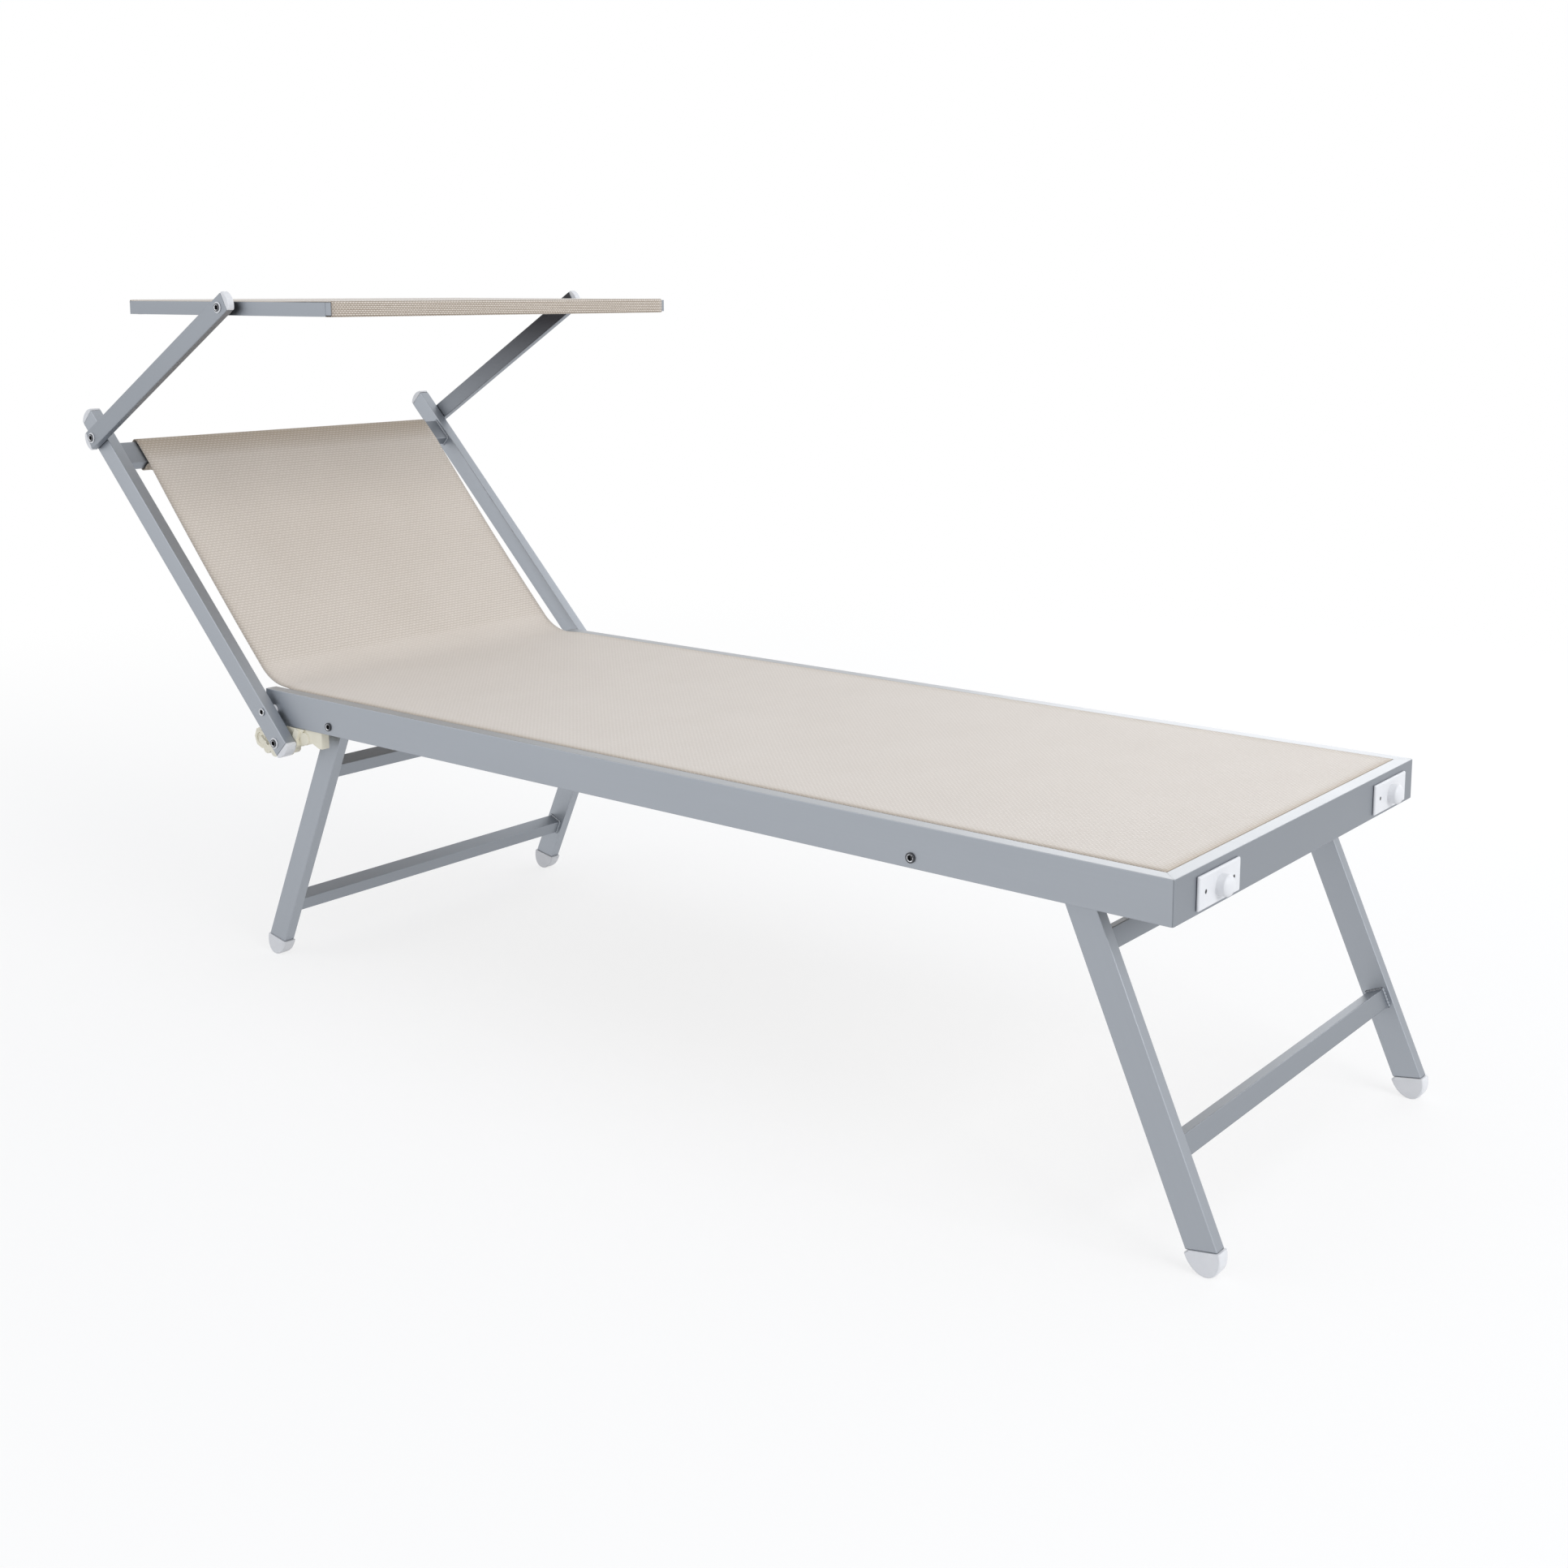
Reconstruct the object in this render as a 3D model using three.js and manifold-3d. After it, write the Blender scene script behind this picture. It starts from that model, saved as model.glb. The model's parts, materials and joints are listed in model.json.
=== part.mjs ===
// Sun lounger with canopy: an aluminium bed with folding legs, a reclining backrest,
// and a small shade that two swinging arms carry over the head end.
// Millimetres. +X points to the foot end, +Z up, and the person lying on it has -Y on their right.

import * as THREE from 'three';
import { mergeVertices } from 'three/addons/utils/BufferGeometryUtils.js';
import Module from 'manifold-3d';

const wasm = await Module();
wasm.setup();

// Bed frame
const bedLength = 1325;
const bedWidth = 572;
const bedHeight = 380;
const railHeight = 45;
const railThickness = 20;
const railWall = 1.6;
const railCornerRound = 3;
const grooveWidth = 3.4;
const grooveDepth = 3.2;

// Sling
const slingThickness = 2;
const slingSplit = 2;
const slingBendRadius = 72;
const slingBendStart = 12;
const slingSideGap = 27.5;

// Backrest
const recline = THREE.MathUtils.degToRad(45);
const pivotFromHead = 18.5;
const pivotBelowTop = 26.2;
const backTubeLength = 586;
const backTubeDepth = 28;
const backTubeThickness = 16;
const backTubeWall = 1.5;
const backTubeBelowPivot = 57.8;
const backTubeBehindPivot = 5.6;
const backTubeSideGap = 4.5;
const topBarHeight = 38;
const topBarDepth = 15;
const topBarFromTop = 77;
const topBarForward = 1.9;

// Canopy arms
const armAngle = THREE.MathUtils.degToRad(30.7);
const armSpan = 356;
const armWidth = 26.5;
const armThickness = 10;
const armWall = 1.5;
const armSideGap = 1;
const armFromTubeTop = 38;
const armBelowPivot = 8.5;
const armAbovePivot = 14.5;

// Canopy
const canopyLength = 432;
const canopyPivotFromRear = 222.6;
const canopyRailHeight = 17.5;
const canopyRailThickness = 10;
const canopyRailWall = 1.3;
const canopyRailDrop = 1.6;
const canopySideGap = 6.5;
const canopyBarDepth = 10.5;
const canopyFabricThickness = 1.2;
const canopyFabricInset = 3.5;

// Legs
const legSplay = THREE.MathUtils.degToRad(24);
const legWidth = 32;
const legThickness = 15;
const legWall = 1.5;
const legSideGap = 5.9;
const legTopAbovePivot = 12;
const legEndCut = THREE.MathUtils.degToRad(14);
const legPivotBelowTop = 28;
const rearLegFromHead = 114.4;
const frontLegFromFoot = 120.9;
const braceSize = 20;
const braceWall = 1.5;
const rearUpperBraceBelowPivot = 82;
const rearLowerBraceBelowPivot = 302;
const frontUpperBraceBelowPivot = 67;
const frontLowerBraceBelowPivot = 268;

// Feet
const footHalfWidth = 18.5;
const footHalfHeight = 25;
const footThickness = 18;
const footFlat = 0.4;
const footRound = 2;

// End caps and plugs
const capCollar = 3.5;
const capRise = 5;
const plugLength = 8;
const footPlugLength = 20;

// Bolts
const boltRadius = 3.5;
const boltHeadRadius = 5.2;
const boltHeadHeight = 1.4;
const boltEdge = 0.4;
const boltReach = 6;
const socketAcross = 4.4;
const socketDepth = 3;
const washerRadius = 7.2;
const washerHeight = 0.9;
const bushRadius = 5.2;
const reclinePinRadius = 3;
const reclinePinProjection = 4;
const reclinePinFromEnd = 14;
const reclinePinBehindMiddle = 4.8;
const legBoltRadius = 5;
const legBoltHeadRadius = 8;
const legBoltHeadHeight = 4;
const legBoltCollarRadius = 9;
const legBoltThreadRadius = 4;
const legBoltReach = 9;
const spacerRadius = 7;
const canopySpacerRadius = 10;

// Screws through the side rails
const railScrewRadius = 2.5;
const railScrewAboveBottom = 11;
const bracketScrewFromHead = 129.2;
const guideStudFromFoot = 286.8;
const guideDiscRadius = 9;

// Clearances and cuts
const clearance = 0.3;
const overrun = 1;
const mergeDistance = 1e-4;
const roundSides = 18;
const boltSides = 14;
const hexagonSides = 6;
const octagonSides = 8;
const cornerSteps = 5;
const slingBendSteps = 8;
const capSteps = 10;
const footSteps = 14;
const footRoundSteps = 2;

// Places worked out from the sizes above, with "out" for a distance from the middle plane
const railOut = bedWidth / 2;
const railInnerOut = railOut - railThickness;
const railBottom = bedHeight - railHeight;
const slingBottom = bedHeight - grooveDepth + clearance;
const slingTop = slingBottom + slingThickness;
const backTubeInnerOut = railOut + backTubeSideGap;
const backTubeOut = backTubeInnerOut + backTubeThickness;
const slingHalfWidth = backTubeInnerOut - slingSideGap;
const armInnerOut = backTubeOut + armSideGap;
const armOut = armInnerOut + armThickness;
const canopyOut = armInnerOut - canopySideGap;
const legOut = railInnerOut - legSideGap;
const legInnerOut = legOut - legThickness;
const backTubeMiddle = -backTubeBehindPivot;
const backTubeTop = backTubeLength - backTubeBelowPivot;
const armPivotUp = backTubeTop - armFromTubeTop;
const pivotHeight = bedHeight - pivotBelowTop;
const backrestTurn = recline - Math.PI / 2;
const armTurn = Math.PI / 2 - armAngle - backrestTurn;

// Materials
const satinAluminium = { color: 0xa3a8b0, roughness: 0.42, metalness: 0.85 };
const slingBeige = { color: 0xcfc5b8, roughness: 0.85, metalness: 0 };
const whitePlastic = { color: 0xdcdee1, roughness: 0.45, metalness: 0 };
const creamNylon = { color: 0xe8e3d0, roughness: 0.5, metalness: 0 };
const blackNylon = { color: 0x17181a, roughness: 0.45, metalness: 0 };
const screwSteel = { color: 0x8f9297, roughness: 0.3, metalness: 1 };

// Solids

// A geometry with its shared corners merged and its collapsed triangles dropped.
function closed(source) {
  const bare = source.clone();
  bare.deleteAttribute('normal');
  bare.deleteAttribute('uv');
  const merged = mergeVertices(bare, mergeDistance);
  const corners = merged.index.array;
  const kept = [];
  for (let i = 0; i < corners.length; i += 3) {
    const [a, b, c] = [corners[i], corners[i + 1], corners[i + 2]];
    if (a !== b && b !== c && c !== a) kept.push(a, b, c);
  }
  merged.setIndex(kept);
  return merged;
}

function toSolid(source) {
  const clean = closed(source);
  return new wasm.Manifold(new wasm.Mesh({
    numProp: 3,
    vertProperties: clean.attributes.position.array,
    triVerts: Uint32Array.from(clean.index.array),
  }));
}

function toGeometry(solid) {
  const mesh = solid.getMesh();
  const result = new THREE.BufferGeometry();
  result.setAttribute('position', new THREE.BufferAttribute(Float32Array.from(mesh.vertProperties), 3));
  result.setIndex(Array.from(mesh.triVerts));
  return result;
}

function cut(body, ...tools) {
  return toGeometry(tools.reduce((rest, tool) => rest.subtract(toSolid(tool)), toSolid(body)));
}

function join(...bodies) {
  return toGeometry(bodies.slice(1).reduce((sum, body) => sum.add(toSolid(body)), toSolid(bodies[0])));
}

function common(first, second) {
  return toGeometry(toSolid(first).intersect(toSolid(second)));
}

// The same body on the other side of the middle plane, its triangles turned so they still face out.
function mirrored(source) {
  const flipped = closed(source);
  flipped.scale(1, -1, 1);
  const corners = Array.from(flipped.index.array);
  for (let i = 0; i < corners.length; i += 3) {
    [corners[i + 1], corners[i + 2]] = [corners[i + 2], corners[i + 1]];
  }
  flipped.setIndex(corners);
  return flipped;
}

// Outlines and extrusions

function outline(points) {
  return new THREE.Shape(points.map(([x, y]) => new THREE.Vector2(x, y)));
}

function rectangle(x0, y0, x1, y1) {
  return outline([[x0, y0], [x1, y0], [x1, y1], [x0, y1]]);
}

function extruded(shape, depth) {
  return new THREE.ExtrudeGeometry(shape, { depth, bevelEnabled: false, curveSegments: roundSides });
}

// An outline drawn in the side view (X, Z), from one Y to another.
function acrossWidth(shape, fromY, toY) {
  return extruded(shape, toY - fromY).rotateX(Math.PI / 2).translate(0, toY, 0);
}

// An outline drawn in the end view (Y, Z), from one X to another.
function alongLength(shape, fromX, toX) {
  return extruded(shape, toX - fromX).rotateX(Math.PI / 2).rotateZ(Math.PI / 2).translate(fromX, 0, 0);
}

// An outline drawn in the top view (X, Y), from one Z to another.
function upwards(shape, fromZ, toZ) {
  return extruded(shape, toZ - fromZ).translate(0, 0, fromZ);
}

function box(x0, x1, y0, y1, z0, z1) {
  return new THREE.BoxGeometry(x1 - x0, y1 - y0, z1 - z0)
    .translate((x0 + x1) / 2, (y0 + y1) / 2, (z0 + z1) / 2);
}

// A round pin or hole along Y.
function pin(radius, fromY, toY, x = 0, z = 0, sides = boltSides) {
  return new THREE.CylinderGeometry(radius, radius, toY - fromY, sides)
    .translate(x, (fromY + toY) / 2, z);
}

// A body turned about the Y axis, from radius and Y pairs that run from one end of the axis to the other.
function turned(profile, sides = boltSides) {
  return new THREE.LatheGeometry(profile.map(([radius, y]) => new THREE.Vector2(radius, y)), sides);
}

// A square tube along one of the frame's directions: the outer box less the inner one,
// which runs out through the ends that stay open.
function hollow(outer, wall, openStart, openEnd, axis) {
  const inner = outer.map((value, i) => value + (i % 2 ? -wall : wall));
  const start = 2 * axis;
  if (openStart) inner[start] = outer[start] - overrun;
  if (openEnd) inner[start + 1] = outer[start + 1] + overrun;
  return cut(box(...outer), box(...inner));
}

// Bolts and caps

// A bolt on the right-hand side, head outwards, with a hexagon socket in its head.
// A ringed bolt stands in a white washer whose bush lines the hole down to bushOut.
function bolt({ faceOut, tipOut, radius = boltRadius, ringed = false, bushOut = null }) {
  const under = -(faceOut + clearance);
  const ringTop = under - (ringed ? washerHeight : 0);
  const top = ringTop - boltHeadHeight;
  const profile = [[0, top], [boltHeadRadius - boltEdge, top], [boltHeadRadius, top + boltEdge]];
  if (ringed) {
    profile.push([boltHeadRadius, ringTop], [washerRadius - boltEdge, ringTop]);
    profile.push([washerRadius, ringTop + boltEdge], [washerRadius, under]);
  } else {
    profile.push([boltHeadRadius, under]);
  }
  if (bushOut !== null) profile.push([bushRadius, under], [bushRadius, -bushOut], [radius, -bushOut]);
  else profile.push([radius, under]);
  profile.push([radius, -tipOut - boltEdge], [radius - boltEdge, -tipOut], [0, -tipOut]);
  return cut(turned(profile), hexSocket(top, 1));
}

function hexSocket(openingY, direction) {
  const corner = socketAcross / Math.sqrt(3);
  const bottom = openingY + direction * socketDepth;
  const outside = openingY - direction * overrun;
  return pin(corner, Math.min(bottom, outside), Math.max(bottom, outside), 0, 0, hexagonSides);
}

// A plastic cap on the end of a flat tube: a collar as wide as the tube, a shallow dome over it
// and a plug inside the tube. It stands at z = 0 and points up.
function endCap({ width, fromOut, toOut, wall, plug }) {
  const half = width / 2;
  const bend = (half * half + capRise * capRise) / (2 * capRise);
  const sweep = Math.asin(half / bend);
  const base = clearance;
  const shape = new THREE.Shape();
  shape.moveTo(-half, base);
  shape.lineTo(half, base);
  shape.lineTo(half, capCollar);
  shape.absarc(0, capCollar + capRise - bend, bend, Math.PI / 2 - sweep, Math.PI / 2 + sweep, false);
  shape.lineTo(-half, base);
  const inset = wall + clearance;
  return join(
    new THREE.ExtrudeGeometry(shape, {
      depth: toOut - fromOut, bevelEnabled: false, curveSegments: capSteps,
    }).rotateX(Math.PI / 2).translate(0, -fromOut, 0),
    box(-half + inset, half - inset, -toOut + inset, -fromOut - inset, -plug, base + overrun),
  );
}

// Room for a plug between a tube's end and the bolt nearest to it.
function plugRoom(endToBolt, boltAndBush) {
  return Math.min(plugLength, endToBolt - boltAndBush - 2 * clearance);
}

// Scene graph

const lounger = new THREE.Group();
const bedFrame = new THREE.Group();
const backrest = new THREE.Group();
const canopyArms = new THREE.Group();
const canopy = new THREE.Group();
const rearLegs = new THREE.Group();
const frontLegs = new THREE.Group();
lounger.add(bedFrame, backrest, rearLegs, frontLegs);
backrest.add(canopyArms);
canopyArms.add(canopy);

backrest.position.set(pivotFromHead, 0, pivotHeight);
backrest.rotation.y = backrestTurn;
canopyArms.position.set(backTubeMiddle, 0, armPivotUp);
canopyArms.rotation.y = armTurn;
canopy.position.set(0, 0, armSpan);
canopy.rotation.y = -(backrestTurn + armTurn);
rearLegs.position.set(rearLegFromHead, 0, bedHeight - legPivotBelowTop);
rearLegs.rotation.y = legSplay;
frontLegs.position.set(bedLength - frontLegFromFoot, 0, bedHeight - legPivotBelowTop);
frontLegs.rotation.y = -legSplay;

function add(group, name, geometry, look) {
  const mesh = new THREE.Mesh(closed(geometry), new THREE.MeshStandardMaterial(look));
  mesh.name = name;
  group.add(mesh);
}

// The right-hand body and its mirror image on the left.
function addPair(group, name, geometry, look) {
  add(group, `${name}_right`, geometry, look);
  add(group, `${name}_left`, mirrored(geometry), look);
}

// Bed frame rails

// The extruded section of all three rails: "in" runs from the outer face to the inner one, and the
// inner top corner is stepped down for the edge of the sling.
function railSection(toSide, inset) {
  const inner = railThickness - inset;
  const step = railThickness - grooveWidth - inset;
  const top = bedHeight - inset;
  const stepTop = bedHeight - grooveDepth - inset;
  const bottom = railBottom + inset;
  const corners = [
    [inset, bottom], [inner, bottom], [inner, stepTop], [step, stepTop], [step, top], [inset, top],
  ];
  return outline(corners.map(([inwards, height]) => [toSide(inwards), height]));
}

// The bed seen from above, rounded at the two foot corners.
function bedPlan() {
  const roundX = bedLength - railCornerRound;
  const roundOut = railOut - railCornerRound;
  const shape = new THREE.Shape();
  shape.moveTo(-overrun, -railOut);
  shape.lineTo(roundX, -railOut);
  shape.absarc(roundX, -roundOut, railCornerRound, -Math.PI / 2, 0, false);
  shape.lineTo(bedLength, roundOut);
  shape.absarc(roundX, roundOut, railCornerRound, 0, Math.PI / 2, false);
  shape.lineTo(-overrun, railOut);
  return new THREE.ExtrudeGeometry(shape, {
    depth: railHeight + 2 * overrun, bevelEnabled: false, curveSegments: cornerSteps,
  }).translate(0, 0, railBottom - overrun);
}

function mitredPlan(points) {
  return upwards(outline(points), railBottom - overrun, bedHeight + overrun);
}

function sideRail() {
  const toY = (inwards) => -railOut + inwards;
  const tube = cut(
    alongLength(railSection(toY, 0), 0, bedLength + overrun),
    alongLength(railSection(toY, railWall), railWall, bedLength + 2 * overrun),
  );
  const farEnd = bedLength - clearance;
  const mitre = mitredPlan([
    [-overrun, -railOut - overrun], [farEnd + overrun, -railOut - overrun],
    [farEnd - railThickness - overrun, -railInnerOut + overrun], [-overrun, -railInnerOut + overrun],
  ]);
  const screwHeight = railBottom + railScrewAboveBottom;
  const screwHole = railScrewRadius + clearance;
  const legHole = legBoltThreadRadius + clearance;
  const legHeight = bedHeight - legPivotBelowTop;
  const outerWall = [-railOut - overrun, -railOut + railWall + overrun];
  const innerWall = [-railInnerOut - railWall - overrun, -railInnerOut + overrun];
  const bothWalls = [-railOut - overrun, -railInnerOut + overrun];
  return cut(
    common(common(tube, mitre), bedPlan()),
    pin(boltRadius + clearance, ...outerWall, pivotFromHead, pivotHeight),
    pin(screwHole, ...bothWalls, bracketScrewFromHead, screwHeight),
    pin(screwHole, ...bothWalls, bedLength - guideStudFromFoot, screwHeight),
    pin(legHole, ...innerWall, rearLegFromHead, legHeight),
    pin(legHole, ...innerWall, bedLength - frontLegFromFoot, legHeight),
  );
}

function footRail() {
  const toX = (inwards) => bedLength - inwards;
  const end = railOut + overrun;
  const tube = cut(
    acrossWidth(railSection(toX, 0), -end, end),
    acrossWidth(railSection(toX, railWall), -end - overrun, end + overrun),
  );
  const innerX = bedLength - railThickness - overrun;
  const outerX = bedLength + overrun;
  const mitre = mitredPlan([
    [outerX, -railOut - overrun], [outerX, railOut + overrun],
    [innerX, railInnerOut - overrun], [innerX, -railInnerOut + overrun],
  ]);
  return common(common(tube, mitre), bedPlan());
}

addPair(bedFrame, 'side_rail', sideRail(), satinAluminium);
add(bedFrame, 'foot_rail', footRail(), satinAluminium);

// Seat sling: a flat sheet whose edges lie in the step of the rails.
const seatOut = railInnerOut + grooveWidth - clearance;
const seatFoot = bedLength - railThickness + grooveWidth - clearance;
const seatSling = box(slingSplit, seatFoot, -seatOut, seatOut, slingBottom, slingTop);
add(bedFrame, 'seat_fabric', seatSling, slingBeige);

// Recline bracket: a cream nylon moulding under the rail. A toothed quadrant curves round the backrest
// pivot, its notches on the inner edge backed by round lobes on the outer one. It ends in an eight-sided
// boss at the head end and in a mounting block under the rail, which also has a flange up the rail's
// inner face for its screw. Places are from the backrest pivot, in the side view.
const quadrantWidth = 9;
const quadrantInsideRail = 12;
const quadrantTubeGap = 0.6;
const notchAngle = THREE.MathUtils.degToRad(16);
const notchCount = 5;
const lobeRadius = 7.5;
const lobeSunk = 1.5;
const blockInsideRail = 14;
const blockSetBack = 2;
const blockEndFromPivot = 93;
const blockPadLength = 6.5;
const blockPadDrop = 21.7;
const blockWaistDrop = 16.8;
const blockWaistFromPivot = 73.7;
const blockHeelDrop = 26;
const blockHeelFromPivot = 41.2;
const blockBossRadius = 8.5;
const blockBossFromPivot = 59.3;
const blockBossDrop = 12.4;
const blockBossHeight = 2;
const endBossAcross = 27.8;
const endBossRadius = 53.2;
const endBossAngle = THREE.MathUtils.degToRad(-127);
const endBossRingRadius = 10;
const endBossRingWidth = 2.4;
const endBossRingHeight = 1.6;
const flangeThickness = 5;
const flangeFromHead = 94;
const flangeToHead = 140;
const flangeTopBelowBed = 14;
const linkDepth = 14;
const linkFromHead = 84;
const linkToHead = 104;

function reclineBracket() {
  const quadrantInnerOut = railOut - quadrantInsideRail;
  const quadrantOuterOut = backTubeInnerOut - quadrantTubeGap;
  const blockInnerOut = railOut - blockInsideRail;
  const blockOut = railOut - blockSetBack;
  const pinBehind = reclinePinBehindMiddle - backTubeMiddle;
  const pinBelow = backTubeBelowPivot - reclinePinFromEnd;
  const innerRadius = Math.hypot(pinBehind, pinBelow) + reclinePinRadius + clearance;
  const outerRadius = innerRadius + quadrantWidth;
  const middleRadius = (innerRadius + outerRadius) / 2;
  const pinAngle = -Math.PI / 2 - backrestTurn - Math.atan2(pinBehind, pinBelow);
  const underRail = railBottom - clearance - pivotHeight;
  const place = (radius, angle) => [radius * Math.cos(angle), radius * Math.sin(angle)];

  // Quadrant between the rail's underside and the end boss, as a thick arc.
  const startAngle = Math.asin(underRail / innerRadius);
  const arc = new THREE.Shape();
  arc.absarc(0, 0, outerRadius, startAngle, endBossAngle, true);
  arc.absarc(0, 0, innerRadius, endBossAngle, startAngle, false);
  const quadrantFaces = [-quadrantOuterOut, -quadrantInnerOut];
  const notchEnds = [-quadrantOuterOut - overrun, -quadrantInnerOut + overrun];
  let moulding = acrossWidth(arc, ...quadrantFaces);
  const notches = [];
  for (let i = 0; i < notchCount; i += 1) {
    const angle = pinAngle + notchAngle * (1 - i);
    const lobe = pin(lobeRadius, ...quadrantFaces, ...place(outerRadius - lobeSunk, angle), roundSides);
    moulding = join(moulding, lobe);
    notches.push(pin(reclinePinRadius + clearance, ...notchEnds, ...place(innerRadius - clearance, angle)));
  }

  // Mounting block, with the round boss on its near face and a heel that runs into the quadrant.
  const heel = place(middleRadius, startAngle);
  const [toeX, toeZ] = place(middleRadius, pinAngle + notchAngle);
  const block = outline([
    [heel[0], underRail], [blockEndFromPivot, underRail], [blockEndFromPivot, underRail - blockPadDrop],
    [blockEndFromPivot - blockPadLength, underRail - blockPadDrop],
    [blockWaistFromPivot, underRail - blockWaistDrop], [blockHeelFromPivot, underRail - blockHeelDrop],
    [toeX, toeZ],
  ]);
  moulding = join(
    moulding,
    acrossWidth(block, -blockOut, -blockInnerOut),
    pin(
      blockBossRadius, -blockOut - blockBossHeight, -blockOut + overrun,
      blockBossFromPivot, underRail - blockBossDrop, roundSides,
    ),
  );

  // End boss: an eight-sided block with a raised ring on its near face.
  const [bossX, bossZ] = place(endBossRadius, endBossAngle);
  const octagon = endBossAcross / 2 / Math.cos(Math.PI / octagonSides);
  const ringTop = -railOut - endBossRingHeight;
  const ringHole = endBossRingRadius - endBossRingWidth;
  const ring = cut(
    pin(endBossRingRadius, ringTop, -railOut + overrun, bossX, bossZ, roundSides),
    pin(ringHole, ringTop - overrun, -railOut + 2 * overrun, bossX, bossZ, roundSides),
  );
  moulding = join(moulding, pin(octagon, -railOut, -blockInnerOut, bossX, bossZ, octagonSides), ring);

  // Flange up the rail's inner face, joined to the block by a link under the rail.
  const flangeOut = railInnerOut - clearance;
  const flangeIn = flangeOut - flangeThickness;
  const flangeTop = bedHeight - flangeTopBelowBed - pivotHeight;
  const linkBottom = underRail - linkDepth;
  const [flangeStart, flangeEnd] = [flangeFromHead - pivotFromHead, flangeToHead - pivotFromHead];
  const [linkStart, linkEnd] = [linkFromHead - pivotFromHead, linkToHead - pivotFromHead];
  moulding = join(
    moulding,
    box(flangeStart, flangeEnd, -flangeOut, -flangeIn, linkBottom, flangeTop),
    box(linkStart, linkEnd, -blockInnerOut - overrun, -flangeIn, linkBottom, underRail),
  );
  const holeEnds = [-flangeOut - overrun, -flangeIn + overrun];
  const legBoltHeight = bedHeight - legPivotBelowTop - pivotHeight;
  const holeForScrewHeight = railBottom + railScrewAboveBottom - pivotHeight;
  return cut(
    moulding,
    ...notches,
    pin(
      legBoltCollarRadius + clearance, ...holeEnds,
      rearLegFromHead - pivotFromHead, legBoltHeight, roundSides,
    ),
    pin(
      railScrewRadius + clearance, ...holeEnds,
      bracketScrewFromHead - pivotFromHead, holeForScrewHeight,
    ),
  ).translate(pivotFromHead, 0, pivotHeight);
}

addPair(bedFrame, 'recline_bracket', reclineBracket(), creamNylon);

// Screws through the side rails: one holds the bracket, the other a disc that steadies the folded leg.
const screwHeight = railBottom + railScrewAboveBottom;
const discInnerOut = railInnerOut - clearance - flangeThickness;

function railScrew(x, tipOut) {
  return bolt({ faceOut: railOut, tipOut, radius: railScrewRadius }).translate(x, 0, screwHeight);
}

function guideStud() {
  const x = bedLength - guideStudFromFoot;
  return join(
    railScrew(x, discInnerOut + overrun),
    pin(guideDiscRadius, -railInnerOut + clearance, -discInnerOut, x, screwHeight, roundSides),
  );
}

addPair(bedFrame, 'bracket_screw', railScrew(bracketScrewFromHead, discInnerOut + overrun), screwSteel);
addPair(bedFrame, 'leg_guide_stud', guideStud(), screwSteel);

// Foot bumpers: a bevelled plate with a blunt knob and two screw holes, on the foot rail's outer face.
const bumperLength = 84.5;
const bumperHeight = 33;
const bumperThickness = 3;
const bumperBevel = 1.2;
const bumperAboveBottom = 4;
const bumperRightFromCorner = 44;
const bumperLeftFromCorner = 29;
const knobRadius = 10.75;
const knobTopRadius = 7.6;
const knobLength = 13.5;
const knobShoulder = 9.5;
const bumperHoleSpacing = 57.8;
const bumperHoleRadius = 2.2;
const bumperHoleDepth = 1.5;

function footBumper(middleY) {
  const height = bumperHeight / 2 - bumperBevel;
  const length = bumperLength / 2 - bumperBevel;
  const plate = new THREE.ExtrudeGeometry(rectangle(-height, -length, height, length), {
    depth: bumperThickness - bumperBevel, bevelThickness: bumperBevel, bevelSize: bumperBevel,
    bevelSegments: 1,
  }).translate(0, 0, bumperBevel);
  const flatBack = box(-bumperHeight, bumperHeight, -bumperLength, bumperLength, -bumperLength, bumperBevel);
  const top = bumperThickness + bumperBevel;
  const knobFoot = bumperBevel + overrun;
  const knob = turned([
    [0, knobFoot], [knobRadius, knobFoot], [knobRadius, top + knobShoulder - bumperBevel],
    [(knobRadius + knobTopRadius) / 2, top + knobShoulder + bumperBevel],
    [knobTopRadius / 2, top + knobLength], [0, top + knobLength],
  ], roundSides).rotateX(Math.PI / 2);
  const holes = [-1, 1].map((end) => new THREE.CylinderGeometry(
    bumperHoleRadius, bumperHoleRadius, bumperHoleDepth + overrun, boltSides,
  ).rotateX(Math.PI / 2).translate(0, end * bumperHoleSpacing / 2, top - bumperHoleDepth / 2 + overrun / 2));
  const middleHeight = railBottom + bumperAboveBottom + bumperHeight / 2;
  return cut(join(cut(plate, flatBack), knob), ...holes)
    .rotateY(Math.PI / 2)
    .translate(bedLength + clearance - bumperBevel, middleY, middleHeight);
}

const rightBumperY = -(railOut - bumperRightFromCorner - bumperLength / 2);
const leftBumperY = railOut - bumperLeftFromCorner - bumperLength / 2;
add(bedFrame, 'foot_bumper_right', footBumper(rightBumperY), whitePlastic);
add(bedFrame, 'foot_bumper_left', footBumper(leftBumperY), whitePlastic);

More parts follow.
